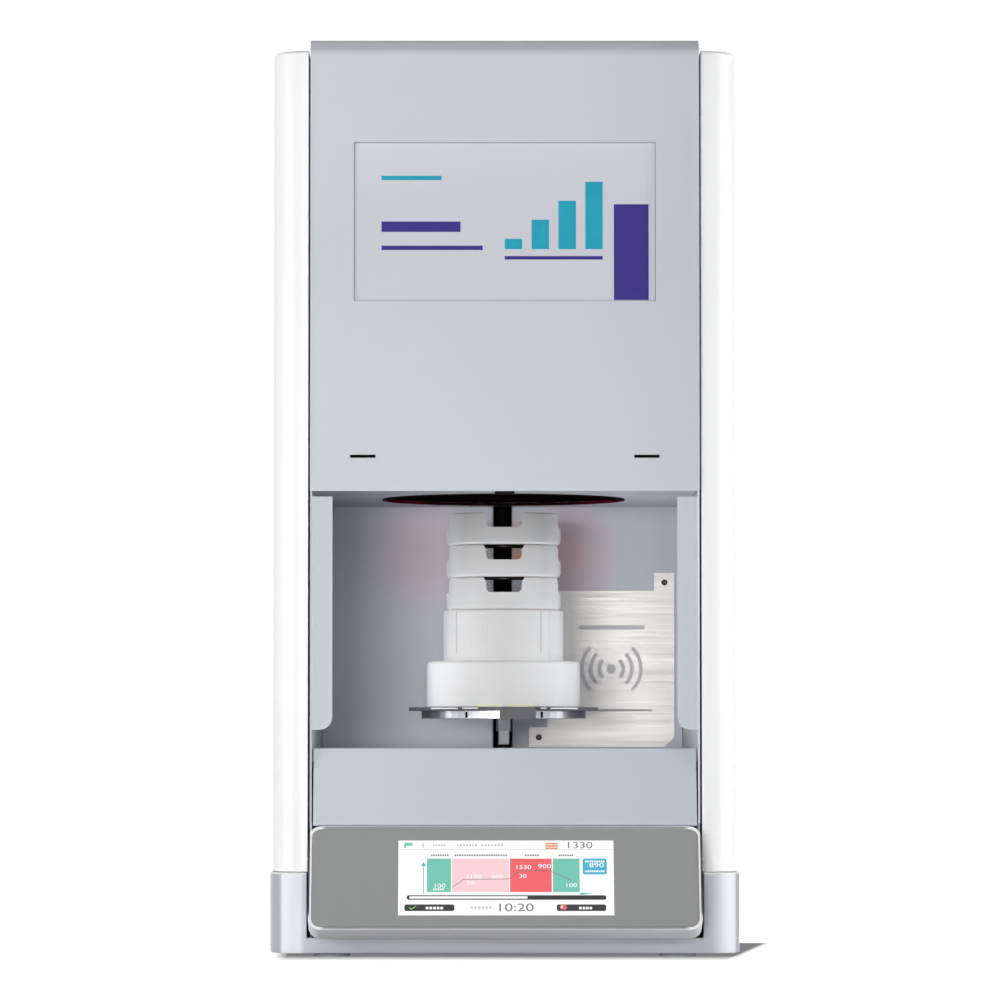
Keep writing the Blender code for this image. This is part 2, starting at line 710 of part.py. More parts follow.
def make_hood():
    path = [(FRONT_Y, HOOD_BOTTOM), (FRONT_Y, CABINET_HEIGHT), (COVER_Y, CABINET_HEIGHT),
            (COVER_Y, CABINET_HEIGHT - HOOD_LIP)]
    hood = folded("hood", rounded(path, [HOOD_BEND, HOOD_REAR_BEND]), "X", -HOOD_WIDTH / 2, HOOD_WIDTH / 2,
                  painted_grey)
    cheek = [(depth(HOOD_CHEEK_DEPTH), BAY_CEILING), (FRONT_Y + SHEET / 2, BAY_CEILING),
             (FRONT_Y + SHEET / 2, CABINET_HEIGHT - SHEET / 2),
             (depth(HOOD_CHEEK_DEPTH), CABINET_HEIGHT - SHEET / 2)]
    for sign in (-1.0, 1.0):
        outline = rounded(cheek[1:], HOOD_BEND - SHEET / 2)
        side = plate(f"hood_cheek_{sign:+.0f}", [cheek[0]] + [tuple(point) for point in outline], SHEET,
                     place=(sign * (HOOD_WIDTH - SHEET) / 2, 0.0, 0.0), turn=(pi / 2, 0.0, pi / 2))
        combine(hood, side, "UNION")
    window = block("badge_window", (-BADGE_WIDTH / 2, FRONT_Y - OVERRUN, BADGE_CENTRE_Z - BADGE_HEIGHT / 2),
                   (BADGE_WIDTH / 2, depth(SHEET) + OVERRUN, BADGE_CENTRE_Z + BADGE_HEIGHT / 2))
    combine(hood, window)
    for sign in (-1.0, 1.0):
        x = sign * HOOD_SLOT_X
        slot = block(f"hood_slot_{sign:+.0f}",
                     (x - HOOD_SLOT_WIDTH / 2, FRONT_Y - OVERRUN, HOOD_SLOT_Z - HOOD_SLOT_HEIGHT / 2),
                     (x + HOOD_SLOT_WIDTH / 2, depth(SHEET) + OVERRUN, HOOD_SLOT_Z + HOOD_SLOT_HEIGHT / 2))
        combine(hood, slot)
    for i in range(HOOD_VENT_COUNT):
        y = depth(HOOD_VENT_DEPTH) + (i - (HOOD_VENT_COUNT - 1) / 2) * HOOD_VENT_PITCH
        vent = block(f"hood_vent_{i}",
                     (-HOOD_VENT_LENGTH, y - HOOD_VENT_WIDTH / 2, CABINET_HEIGHT - SHEET - OVERRUN),
                     (HOOD_VENT_LENGTH, y + HOOD_VENT_WIDTH / 2, CABINET_HEIGHT + OVERRUN))
        combine(hood, vent)
    half_width = BADGE_WIDTH / 2 + BADGE_OVERLAP
    half_height = BADGE_HEIGHT / 2 + BADGE_OVERLAP
    back = depth(SHEET) + GAP
    block("badge_plate", (-half_width, back, BADGE_CENTRE_Z - half_height),
          (half_width, back + BADGE_THICKNESS, BADGE_CENTRE_Z + half_height), badge_film)


def make_side_sheet(side, sign):
    front = depth(SIDE_LEAD_DEPTH)
    bottom = BASE_FLOOR + GAP
    top = BAY_CEILING - GAP
    path = [(sign * FLANGE_INNER_X, front), (sign * SIDE_OUTER_X, front),
            (sign * SIDE_OUTER_X, COVER_Y - REAR_LIP - GAP)]
    sheet = folded(f"side_sheet_{side}", rounded(path, FLANGE_BEND), "Z", bottom, top, painted_grey,
                   thickness=SIDE_SHEET, side=sign)
    inner = FLANGE_INNER_X - OVERRUN
    fold = FLANGE_BEND + SIDE_SHEET + OVERRUN
    corner = [(FLANGE_INNER_X + FLANGE_CORNER * (1 - sin(step * pi / 2 / ARC_STEPS)),
               FLANGE_BOTTOM + FLANGE_CORNER * (1 - cos(step * pi / 2 / ARC_STEPS)))
              for step in range(ARC_STEPS + 1)]
    below = [(inner, bottom - OVERRUN), (SIDE_INNER_X, bottom - OVERRUN), (SIDE_INNER_X, FLANGE_BOTTOM)]
    below += corner + [(inner, FLANGE_BOTTOM + FLANGE_CORNER)]
    middle_y = front - OVERRUN + fold / 2
    relief = plate(f"flange_relief_{side}", [(sign * x, z) for x, z in below], fold,
                   place=(0.0, middle_y, 0.0), turn=(pi / 2, 0.0, 0.0))
    combine(sheet, relief)
    low_x, high_x = spread(sign * inner, sign * SIDE_INNER_X)
    upper = block(f"flange_upper_relief_{side}", (low_x, front - OVERRUN, FLANGE_TOP),
                  (high_x, front - OVERRUN + fold, top + OVERRUN))
    combine(sheet, upper)
    low_x, high_x = spread(sign * (SIDE_INNER_X - OVERRUN), sign * (SIDE_OUTER_X + OVERRUN))
    notch = block(f"display_notch_{side}", (low_x, front - OVERRUN, bottom - OVERRUN),
                  (high_x, depth(SIDE_NOTCH_DEPTH), SIDE_NOTCH_TOP))
    combine(sheet, notch)


def make_bay_back(side, sign):
    path = [(sign * SLOT_WIDTH / 2, BACK_Y + SLOT_LIP), (sign * SLOT_WIDTH / 2, BACK_Y),
            (sign * BAY_HALF, BACK_Y)]
    folded(f"bay_back_{side}", rounded(path, SHEET), "Z", BACK_BOTTOM, BACK_TOP, painted_grey, side=sign)


def make_bay():
    mirrored(make_side_sheet)
    mirrored(make_bay_back)
    rear = BACK_Y - GAP
    floor_front = depth(BAY_FLOOR_LEAD_DEPTH)
    floor = [(floor_front, BAY_FLOOR_TOP - BAY_LIP), (floor_front, BAY_FLOOR_TOP), (rear, BAY_FLOOR_TOP),
             (rear, BAY_FLOOR_TOP - BAY_LIP)]
    folded("bay_floor", rounded(floor, SHEET), "X", -BAY_HALF, BAY_HALF, painted_grey)
    ceiling_front = depth(SHEET) + GAP
    ceiling = [(ceiling_front, BAY_CEILING + BAY_LIP), (ceiling_front, BAY_CEILING), (rear, BAY_CEILING)]
    sheet = folded("bay_ceiling", rounded(ceiling, SHEET), "X", -BAY_HALF, BAY_HALF, painted_grey, side=1.0)
    radius = MOUTH_DIAMETER / 2
    combine(sheet, turned("mouth_hole", [(0.0, CEILING_TOP + OVERRUN), (radius, CEILING_TOP + OVERRUN),
                                         (radius, BAY_CEILING - OVERRUN), (0.0, BAY_CEILING - OVERRUN)],
                          place=(0.0, STACK_Y, 0.0)))


def make_lower_panel():
    head = (depth(PANEL_TOP_DEPTH), PANEL_TOP)
    foot = (depth(-PANEL_BOTTOM_LEAD), PANEL_BOTTOM)
    path = [(head[0] + PANEL_LIP, PANEL_TOP), head, foot, (foot[0] + PANEL_LIP / 2, PANEL_BOTTOM)]
    folded("lower_front_panel", rounded(path, PANEL_BEND), "X", -PANEL_WIDTH / 2, PANEL_WIDTH / 2,
           painted_grey,
           side=1.0)


def slope(rise, sink):
    """World (y, z) of a place that far up the display's front and that far in behind it."""
    return (FRONT_Y - DISPLAY_REACH + rise * sin(DISPLAY_TILT) + sink * cos(DISPLAY_TILT),
            DISPLAY_FOOT_Z + rise * cos(DISPLAY_TILT) - sink * sin(DISPLAY_TILT))


def make_display():
    tilt = empty("display_slope", (0.0, FRONT_Y - DISPLAY_REACH, DISPLAY_FOOT_Z), (-DISPLAY_TILT, 0.0, 0.0))
    half = DISPLAY_WIDTH / 2
    pocket = PLATE_SINK + PLATE_THICKNESS + GAP
    front_wall = pocket + DISPLAY_WALL
    inset = DISPLAY_TRIM + DISPLAY_WALL
    housing = block("display_housing", (-half, 0.0, 0.0), (half, DISPLAY_DEPTH, DISPLAY_HEIGHT),
                    display_silver,
                    along="Y", radius=DISPLAY_CORNER, parent=tilt)
    combine(housing, block("plate_pocket", (DISPLAY_TRIM - half, -OVERRUN, DISPLAY_TRIM),
                           (half - DISPLAY_TRIM, pocket, DISPLAY_HEIGHT - DISPLAY_TRIM),
                           along="Y", radius=DISPLAY_CORNER - DISPLAY_TRIM, parent=tilt))
    combine(housing, block("housing_hollow", (inset - half, front_wall, inset),
                           (half - inset, DISPLAY_DEPTH + OVERRUN, DISPLAY_HEIGHT - inset),
                           along="Y", radius=DISPLAY_CORNER - inset, parent=tilt))
    low = Vector((SCREEN_OFFSET - SCREEN_WIDTH / 2, PLATE_SINK, SCREEN_RISE))
    high = Vector((SCREEN_OFFSET + SCREEN_WIDTH / 2, PLATE_SINK + SCREEN_THICKNESS,
                   SCREEN_RISE + SCREEN_HEIGHT))
    ease = Vector((GAP, OVERRUN + PLATE_SINK, GAP))
    window = block("screen_window", low - ease, high + ease, parent=tilt)
    combine(housing, window)
    panel = block("display_plate", (DISPLAY_TRIM + GAP - half, PLATE_SINK, DISPLAY_TRIM + GAP),
                  (half - DISPLAY_TRIM - GAP, PLATE_SINK + PLATE_THICKNESS,
                   DISPLAY_HEIGHT - DISPLAY_TRIM - GAP),
                  display_grey, along="Y", radius=DISPLAY_CORNER - DISPLAY_TRIM - GAP, parent=tilt)
    combine(panel, window)
    block("touch_screen", low, high, screen_glass, parent=tilt)
    board_y = front_wall + GAP + (DISPLAY_DEPTH - front_wall) / 2
    middle_z = DISPLAY_HEIGHT / 2
    board = block("control_board", (-BOARD_WIDTH / 2, board_y, middle_z - BOARD_HEIGHT / 2),
                  (BOARD_WIDTH / 2, board_y + BOARD_THICKNESS, middle_z + BOARD_HEIGHT / 2), circuit_green,
                  parent=tilt)
    inset_x = BOARD_WIDTH / 2 - BOARD_POST_DIAMETER
    for sign_x in (-1.0, 1.0):
        x = SCREEN_OFFSET + sign_x * (SCREEN_WIDTH / 2 + BOARD_POST_DIAMETER)
        post = block(f"board_foot_{sign_x:+.0f}", (x - BOARD_POST_DIAMETER / 2, front_wall + GAP,
                                                 middle_z - BOARD_POST_DIAMETER / 2),
                     (x + BOARD_POST_DIAMETER / 2, board_y + BOARD_THICKNESS / 2,
                      middle_z + BOARD_POST_DIAMETER / 2),
                     parent=tilt)
        arm = block(f"board_arm_{sign_x:+.0f}", (min(x, sign_x * inset_x) - BOARD_POST_DIAMETER / 2, board_y,
                                               middle_z - BOARD_POST_DIAMETER / 2),
                    (max(x, sign_x * inset_x) + BOARD_POST_DIAMETER / 2, board_y + BOARD_THICKNESS,
                     middle_z + BOARD_POST_DIAMETER / 2), parent=tilt)
        combine(board, arm, "UNION")
        combine(board, post, "UNION")
    join = (DISPLAY_REACH - BRACKET_LEAD - (DISPLAY_DEPTH + GAP) * cos(DISPLAY_TILT)) / sin(DISPLAY_TILT)
    floor = BASE_FLOOR + GAP
    path = [(depth(BRACKET_FOOT_DEPTH), floor), (depth(-BRACKET_LEAD), floor),
            slope(join, DISPLAY_DEPTH + GAP),
            slope(DISPLAY_HEIGHT - BRACKET_HEAD_MARGIN, DISPLAY_DEPTH + GAP)]
    folded("display_bracket", rounded(path, BRACKET_BEND), "X", -BRACKET_WIDTH / 2, BRACKET_WIDTH / 2,
           plain_steel,
           side=-1.0)


def make_sensor_plate():
    outline = [(SENSOR_LEFT - SENSOR_TAB, SENSOR_BOTTOM), (SENSOR_RIGHT - SENSOR_CHAMFER, SENSOR_BOTTOM),
               (SENSOR_RIGHT, SENSOR_BOTTOM + SENSOR_CHAMFER), (SENSOR_RIGHT, SENSOR_TOP + SENSOR_TAB),
               (SENSOR_RIGHT - SENSOR_TAB_WIDTH, SENSOR_TOP + SENSOR_TAB),
               (SENSOR_RIGHT - SENSOR_TAB_WIDTH, SENSOR_TOP), (SENSOR_LEFT, SENSOR_TOP),
               (SENSOR_LEFT, SENSOR_BOTTOM + SENSOR_FOOT_TAB),
               (SENSOR_LEFT - SENSOR_TAB, SENSOR_BOTTOM + SENSOR_FOOT_TAB)]
    front = BACK_Y - GAP - SENSOR_THICKNESS
    plate("sensor_plate", outline, SENSOR_THICKNESS, brushed_steel,
          (0.0, front + SENSOR_THICKNESS / 2, 0.0), (pi / 2, 0.0, 0.0))
    radius = SENSOR_SCREW_DIAMETER / 2
    places = (("upper", SENSOR_RIGHT - SENSOR_SCREW_INSET, SENSOR_TOP + SENSOR_TAB - SENSOR_SCREW_INSET),
              ("lower", SENSOR_LEFT - SENSOR_TAB + SENSOR_SCREW_INSET, SENSOR_BOTTOM + SENSOR_SCREW_INSET))
    for end, x, z in places:
        turned(f"sensor_screw_{end}", [(0.0, SENSOR_SCREW_HEAD), (radius / 2, SENSOR_SCREW_HEAD),
                                       (radius, 0.0), (0.0, 0.0)],
               dark_steel, (x, front - GAP, z), steps=SMALL_STEPS, turn=(pi / 2, 0.0, 0.0))


def element_places():
    """Where each heating element stands: its angle round the chamber and its middle."""
    for i in range(ELEMENT_COUNT):
        angle = 2 * pi * (i + 0.5) / ELEMENT_COUNT
        yield angle, Vector((ELEMENT_CIRCLE * cos(angle), STACK_Y + ELEMENT_CIRCLE * sin(angle), 0.0))


def bore(name, radius, low, high, x=0.0, y=STACK_Y, steps=ROUND_STEPS):
    """A cutter for a round upright hole."""
    return turned(name, [(0.0, high), (radius, high), (radius, low), (0.0, low)], place=(x, y, 0.0),
                  steps=steps)


def chamber_block(name, inset, low, high, finish, open_sides=()):
    half = CHAMBER_HALF - inset
    return block(name, (-half, CHAMBER_FRONT + inset, low), (half, CHAMBER_REAR - inset, high), finish,
                 open_sides=open_sides)


def make_chamber():
    mouth = MOUTH_DIAMETER / 2
    pan_outer = mouth + PAN_WALL
    turned("mouth_pan", [(pan_outer, PAN_TOP), (pan_outer, CHAMBER_BOTTOM), (mouth, CHAMBER_BOTTOM),
                         (mouth, PAN_UNDERSIDE), (PAN_BORE / 2, PAN_UNDERSIDE), (PAN_BORE / 2, PAN_TOP)],
           burnt_steel, (0.0, STACK_Y, 0.0))
    casing = chamber_block("chamber_casing", 0.0, CHAMBER_BOTTOM, CHAMBER_TOP, plain_steel,
                           open_sides=[(0, 0, 1), (0, 0, -1)])
    shell(casing, SHEET)
    floor = chamber_block("insulation_floor", LINING_INSET, CHAMBER_BOTTOM, HOT_FLOOR, fibre_board)
    combine(floor, bore("floor_bore", PLUG_DIAMETER / 2 + BORE_CLEARANCE, CHAMBER_BOTTOM - OVERRUN,
                        HOT_FLOOR + OVERRUN))
    combine(floor, bore("pan_bore", pan_outer + GAP, CHAMBER_BOTTOM - OVERRUN, PAN_TOP + GAP))
    muffle = chamber_block("insulation_muffle", LINING_INSET, HOT_FLOOR + GAP, HOT_TOP, fibre_board)
    combine(muffle, bore("hot_bore", HOT_DIAMETER / 2, HOT_FLOOR - OVERRUN, HOT_TOP + OVERRUN))
    lid_bottom = HOT_TOP + GAP
    lid = chamber_block("insulation_lid", LINING_INSET, lid_bottom, CHAMBER_TOP, fibre_board)
    half = HOLDER_WIDTH / 2
    holder = block("element_holder", (-half, STACK_Y - half, HOLDER_BOTTOM),
                   (half, STACK_Y + half, HOLDER_TOP), ceramic_white)
    cold = ELEMENT_COLD_DIAMETER / 2
    for i, (angle, middle) in enumerate(element_places()):
        along = Vector((-sin(angle), cos(angle), 0.0)) * ELEMENT_SPREAD
        for end, sign in (("a", -1.0), ("b", 1.0)):
            place = middle + along * sign
            hole = bore(f"element_bore_{i}{end}", cold + ELEMENT_BORE_GAP, lid_bottom - OVERRUN,
                        HOLDER_TOP + OVERRUN,
                        place.x, place.y, SMALL_STEPS)
            combine(lid, hole)
            combine(holder, hole)
        make_element(i, middle, along)
    make_thermocouple(lid, holder, lid_bottom)


def make_element(index, middle, along):
    """A U-shaped rod: thick cold ends through the lid, thin hot legs and a half-round foot."""
    hot = ELEMENT_HOT_DIAMETER / ELEMENT_COLD_DIAMETER
    cold_end = HOT_TOP - ELEMENT_COLD_HANG
    foot = ELEMENT_BOTTOM + ELEMENT_HOT_DIAMETER / 2 + ELEMENT_SPREAD
    leg = [(ELEMENT_TOP, 1.0), (cold_end, 1.0), (cold_end - ELEMENT_TAPER, hot)]
    points = [middle - along + Vector((0.0, 0.0, z)) for z, factor in leg]
    factors = [factor for z, factor in leg]
    turns = 2 * ARC_STEPS
    for step in range(turns + 1):
        angle = pi * step / turns
        points.append(middle - along * cos(angle) + Vector((0.0, 0.0, foot - ELEMENT_SPREAD * sin(angle))))
        factors.append(hot)
    points += [middle + along + Vector((0.0, 0.0, z)) for z, factor in reversed(leg)]
    factors += [factor for z, factor in reversed(leg)]
    tube(f"heating_element_{index + 1}", points, ELEMENT_COLD_DIAMETER, element_dark, factors)


def make_thermocouple(lid, holder, lid_bottom):
    y = STACK_Y + THERMOCOUPLE_RADIUS
    radius = THERMOCOUPLE_DIAMETER / 2
    head = THERMOCOUPLE_HEAD_DIAMETER / 2
    hole = bore("thermocouple_bore", radius + GAP, lid_bottom - OVERRUN, HOLDER_TOP + OVERRUN, y=y,
                steps=SMALL_STEPS)
    combine(lid, hole)
    combine(holder, hole)
    seat = HOLDER_TOP + GAP
    turned("thermocouple", [(0.0, seat + THERMOCOUPLE_HEAD_HEIGHT), (head, seat + THERMOCOUPLE_HEAD_HEIGHT),
                            (head, seat), (radius, seat), (radius, THERMOCOUPLE_TIP + radius),
                            (radius * sin(pi / 4), THERMOCOUPLE_TIP + radius * (1 - cos(pi / 4))),
                            (0.0, THERMOCOUPLE_TIP)],
           ceramic_white, (0.0, y, 0.0), steps=SMALL_STEPS)


def make_stack(lift):
    stack = (0.0, STACK_Y, 0.0)
    carriage_front = DRIVE_Y - CARRIAGE_DEPTH / 2
    arm = block("lift_arm", (-ARM_WIDTH / 2, STACK_Y - RING_DIAMETER / 2, ARM_BOTTOM),
                (ARM_WIDTH / 2, carriage_front - GAP, ARM_TOP), cast_grey, parent=lift)
    gusset = block("arm_gusset", (-ARM_GUSSET_WIDTH / 2, depth(ARM_GUSSET_DEPTH), ARM_GUSSET_BOTTOM),
                   (ARM_GUSSET_WIDTH / 2, carriage_front - GAP, ARM_BOTTOM + GAP), parent=lift)
    combine(arm, gusset, "UNION")
    outer = RING_DIAMETER / 2
    inner = outer - RING_WALL
    ring = turned("support_ring",
                  [(outer, RING_TOP), (outer, RING_BOTTOM), (inner, RING_BOTTOM), (inner, RING_TOP)],
                  polished_steel, stack, lift, steps=2 * ROUND_STEPS)
    for sign in (-1.0, 1.0):
        x = sign * RING_NOTCH_X
        y = STACK_Y - (outer ** 2 - RING_NOTCH_X ** 2) ** 0.5
        notch = block(f"ring_notch_{sign:+.0f}", (x - RING_NOTCH / 2, y - RING_NOTCH, RING_BOTTOM - OVERRUN),
                      (x + RING_NOTCH / 2, y + RING_NOTCH, RING_TOP + OVERRUN), parent=lift)
        combine(ring, notch)
    rim = DISC_DIAMETER / 2
    disc = turned("support_disc", [(0.0, DISC_TOP), (rim, DISC_TOP), (rim, DISC_BOTTOM), (0.0, DISC_BOTTOM)],
                  burnt_steel, stack, lift, steps=2 * ROUND_STEPS)
    nose_x = ARM_NOSE_OFFSET
    nose = block("disc_nose",
                 (nose_x - ARM_NOSE_WIDTH / 2, STACK_Y - ARM_NOSE_RADIUS - ARM_NOSE_LENGTH, RING_BOTTOM),
                 (nose_x + ARM_NOSE_WIDTH / 2, STACK_Y - ARM_NOSE_RADIUS, DISC_TOP), parent=lift)
    for i in range(DISC_CUTS):
        combine(disc, disc_window(i, lift))
    combine(disc, nose, "UNION")
    plug = PLUG_DIAMETER / 2
    body = [(0.0, PLUG_TOP)] + arc_profile(plug, PLUG_TOP, PLUG_FILLET) + [(plug, PLUG_BOTTOM),
                                                                           (0.0, PLUG_BOTTOM)]
    turned("insulating_plug", body, fibre_board, stack, lift, steps=2 * ROUND_STEPS)
    radius = PEDESTAL_DIAMETER / 2
    column = [(0.0, PEDESTAL_TOP)] + arc_profile(radius, PEDESTAL_TOP, PEDESTAL_EDGE)
    column += [(radius, PEDESTAL_BOTTOM), (0.0, PEDESTAL_BOTTOM)]
    pedestal = turned("pedestal", column, fibre_board, stack, lift, steps=2 * ROUND_STEPS)
    for sign in (-1.0, 1.0):
        x = sign * PEDESTAL_SEAM_X
        y = STACK_Y - (radius ** 2 - PEDESTAL_SEAM_X ** 2) ** 0.5
        combine(pedestal, block(f"pedestal_seam_{sign:+.0f}",
                                (x - PEDESTAL_SEAM / 2, y - PEDESTAL_SEAM_DEPTH, PEDESTAL_BOTTOM - OVERRUN),
                                (x + PEDESTAL_SEAM / 2, y + PEDESTAL_SEAM_DEPTH, PEDESTAL_TOP + OVERRUN),
                                parent=lift))


def arc_profile(radius, top, fillet):
    """The rounded upper edge of a turned piece, from its top face down to its wall."""
    turns = [pi / 2 * step / FILLET_STEPS for step in range(FILLET_STEPS + 1)]
    return [(radius - fillet + fillet * sin(turn), top - fillet + fillet * cos(turn)) for turn in turns]


def disc_window(index, parent):
    """One curved cut-out of the support disc, between its rim and the ring under it."""
    pitch = 2 * pi / DISC_CUTS
    middle = pitch * (index + 0.5)
    half = pitch * DISC_CUT_SHARE / 2
    angles = [middle - half + 2 * half * step / ARC_STEPS for step in range(ARC_STEPS + 1)]
    outline = [(DISC_CUT_OUTER * cos(a), DISC_CUT_OUTER * sin(a)) for a in angles]
    outline += [(DISC_CUT_INNER * cos(a), DISC_CUT_INNER * sin(a)) for a in reversed(angles)]
    place = local((0.0, STACK_Y, (DISC_TOP + DISC_BOTTOM) / 2), parent)
    return plate(f"disc_window_{index}", outline, DISC_THICKNESS + 2 * OVERRUN, place=place, parent=parent)


def make_tray(index, bottom, axis):
    """A round sintering tray: floor, wall and rounded notches in its rim."""
    outer = TRAY_DIAMETER / 2
    inner = outer - TRAY_WALL
    top = bottom + TRAY_HEIGHT
    fillet = TRAY_FOOT_FILLET
    turns = [pi / 2 * step / FILLET_STEPS for step in range(FILLET_STEPS + 1)]
    foot = [(outer - fillet + fillet * cos(turn), bottom + fillet - fillet * sin(turn)) for turn in turns]
    profile = [(0.0, bottom + TRAY_FLOOR), (inner, bottom + TRAY_FLOOR), (inner, top),
               (outer - TRAY_RIM_ROUND, top),
               (outer, top - TRAY_RIM_ROUND)] + foot + [(0.0, bottom)]
    tray = turned(f"sintering_tray_{index + 1}", profile, ceramic_white, (0.0, STACK_Y, 0.0), axis,
                  steps=2 * ROUND_STEPS)
    half_width = TRAY_NOTCH_WIDTH / 2
    half_mouth = TRAY_NOTCH_MOUTH / 2
    low = top - TRAY_NOTCH_DEPTH
    outline = [(-half_mouth, top + OVERRUN), (-half_mouth, top), (-half_width, top - TRAY_NOTCH_FLARE),
               (-half_width, low), (half_width, low), (half_width, top - TRAY_NOTCH_FLARE),
               (half_mouth, top),
               (half_mouth, top + OVERRUN)]
    rounded_low = rounded([outline[2], outline[3], outline[4], outline[5]], TRAY_NOTCH_ROUND,
                          steps=FILLET_STEPS)
    outline = outline[:2] + [tuple(point) for point in rounded_low] + outline[6:]
    for name, turn in (("y", 0.0), ("x", pi / 2)):
        place = local((0.0, STACK_Y, 0.0), axis)
        cutter = plate(f"tray_notch_{index}{name}", outline, TRAY_DIAMETER + 2 * OVERRUN,
                       place=place, turn=(pi / 2, 0.0, turn), parent=axis)
        combine(tray, cutter)


def make_drive(lift, spin):
    bottom = FRAME_LOW - FRAME_SHEET
    back = DRIVE_Y + FRAME_BACK_SPACE
    path = [(FRAME_FRONT_Y, bottom), (back, bottom), (back, FRAME_HIGH), (FRAME_FRONT_Y, FRAME_HIGH)]
    frame = folded("lift_frame", rounded(path, FRAME_BEND), "X", -FRAME_WIDTH / 2, FRAME_WIDTH / 2,
                   plain_steel,
                   thickness=FRAME_SHEET, side=1.0)
    combine(frame, bore("shaft_hole", SHAFT_HOLE_DIAMETER / 2, bottom - OVERRUN, FRAME_LOW + OVERRUN,
                        y=DRIVE_Y, steps=SMALL_STEPS))
    combine(frame, bore("bearing_hole", BEARING_DIAMETER / 2 + GAP, FRAME_HIGH - FRAME_SHEET - OVERRUN,
                        FRAME_HIGH + OVERRUN, y=DRIVE_Y))
    # The bay's back sheets fold back beside the slot, so the frame is cut clear of the folds.
    relief = SLOT_WIDTH / 2 + SHEET + GAP
    for end, low in (("low", bottom), ("high", FRAME_HIGH - FRAME_SHEET)):
        combine(frame, block(f"fold_relief_{end}", (-relief, FRAME_FRONT_Y - OVERRUN, low - OVERRUN),
                             (relief, BACK_Y + SLOT_LIP + GAP, low + FRAME_SHEET + OVERRUN)))
    ceiling = FRAME_HIGH - FRAME_SHEET - GAP
    for side, sign in (("left", -1.0), ("right", 1.0)):
        turned(f"guide_rod_{side}",
               [(0.0, ceiling), (ROD_DIAMETER / 2, ceiling), (ROD_DIAMETER / 2, FRAME_LOW + GAP),
                                     (0.0, FRAME_LOW + GAP)],
               polished_steel, (sign * ROD_SPACING / 2, DRIVE_Y, 0.0), steps=SMALL_STEPS)
    drive = (0.0, DRIVE_Y, 0.0)
    race = SCREW_END_DIAMETER / 2 + RUNNING_GAP
    seat = FRAME_HIGH - BEARING_HEIGHT
    turned("screw_bearing", [(BEARING_DIAMETER / 2, FRAME_HIGH), (BEARING_DIAMETER / 2, seat), (race, seat),
                             (race, FRAME_HIGH)],
           polished_steel, drive, steps=SMALL_STEPS)
    shoulder = seat - GAP
    grip = COUPLING_BOTTOM + COUPLING_HEIGHT - COUPLING_GRIP
    end = SCREW_END_DIAMETER / 2
    thick = SCREW_DIAMETER / 2
    low_shoulder = COUPLING_BOTTOM + COUPLING_HEIGHT + SCREW_END_LENGTH - COUPLING_GRIP
    turned("lead_screw",
           [(0.0, FRAME_HIGH), (end, FRAME_HIGH), (end, shoulder), (thick, shoulder), (thick, low_shoulder),
                          (end, low_shoulder), (end, grip + GAP), (0.0, grip + GAP)],
           polished_steel, drive, spin, steps=SMALL_STEPS)
    socket = end + GAP
    outer = COUPLING_DIAMETER / 2
    top = COUPLING_BOTTOM + COUPLING_HEIGHT
    shaft = SHAFT_DIAMETER / 2
    turned("motor_coupling", [(0.0, grip), (socket, grip), (socket, top), (outer - COUPLING_EDGE, top),
                              (outer, top - COUPLING_EDGE), (outer, COUPLING_BOTTOM),
                              (shaft, COUPLING_BOTTOM),
                              (shaft, COUPLING_BOTTOM - SHAFT_REACH), (0.0, COUPLING_BOTTOM - SHAFT_REACH)],
           cast_grey, drive, spin, steps=SMALL_STEPS)
    head = bottom - GAP
    half = MOTOR_SIDE / 2
    motor = block("lift_motor", (-half, DRIVE_Y - half, head - MOTOR_HEIGHT), (half, DRIVE_Y + half, head),
                  dark_steel,
                  radius=MOTOR_CORNER)
    combine(motor, bore("motor_well", MOTOR_WELL_DIAMETER / 2, head - MOTOR_WELL_DEPTH, head + OVERRUN,
                        y=DRIVE_Y, steps=SMALL_STEPS))
    make_carriage(lift)


def make_carriage(lift):
    top = CARRIAGE_BOTTOM + CARRIAGE_HEIGHT
    carriage = block("lift_carriage", (-CARRIAGE_WIDTH / 2, DRIVE_Y - CARRIAGE_DEPTH / 2, CARRIAGE_BOTTOM),
                     (CARRIAGE_WIDTH / 2, DRIVE_Y + CARRIAGE_DEPTH / 2, top), cast_grey,
                     radius=CARRIAGE_EDGE,
                     parent=lift)
    low = CARRIAGE_BOTTOM - OVERRUN
    through = top + OVERRUN
    nut_seat = CARRIAGE_BOTTOM + NUT_HEIGHT - NUT_FLANGE
    holes = [("rod_bore_left", -ROD_SPACING / 2, ROD_DIAMETER / 2 + RUNNING_GAP, through),
             ("rod_bore_right", ROD_SPACING / 2, ROD_DIAMETER / 2 + RUNNING_GAP, through),
             ("screw_bore", 0.0, SCREW_DIAMETER / 2 + OVERRUN / 2, through),
             ("nut_bore", 0.0, NUT_DIAMETER / 2 + GAP, nut_seat)]
    for name, x, radius, high in holes:
        profile = [(0.0, high), (radius, high), (radius, low), (0.0, low)]
        combine(carriage, turned(name, profile, place=(x, DRIVE_Y, 0.0), parent=lift, steps=SMALL_STEPS))
    seat = CARRIAGE_BOTTOM - GAP
    inner = SCREW_DIAMETER / 2 + RUNNING_GAP
    barrel = NUT_DIAMETER / 2
    flange = NUT_FLANGE_DIAMETER / 2
    turned("lead_nut", [(barrel, seat + NUT_HEIGHT - NUT_FLANGE), (barrel, seat), (flange, seat),
                        (flange, seat - NUT_FLANGE), (inner, seat - NUT_FLANGE),
                        (inner, seat + NUT_HEIGHT - NUT_FLANGE)],
           bronze, (0.0, DRIVE_Y, 0.0), lift, steps=SMALL_STEPS)


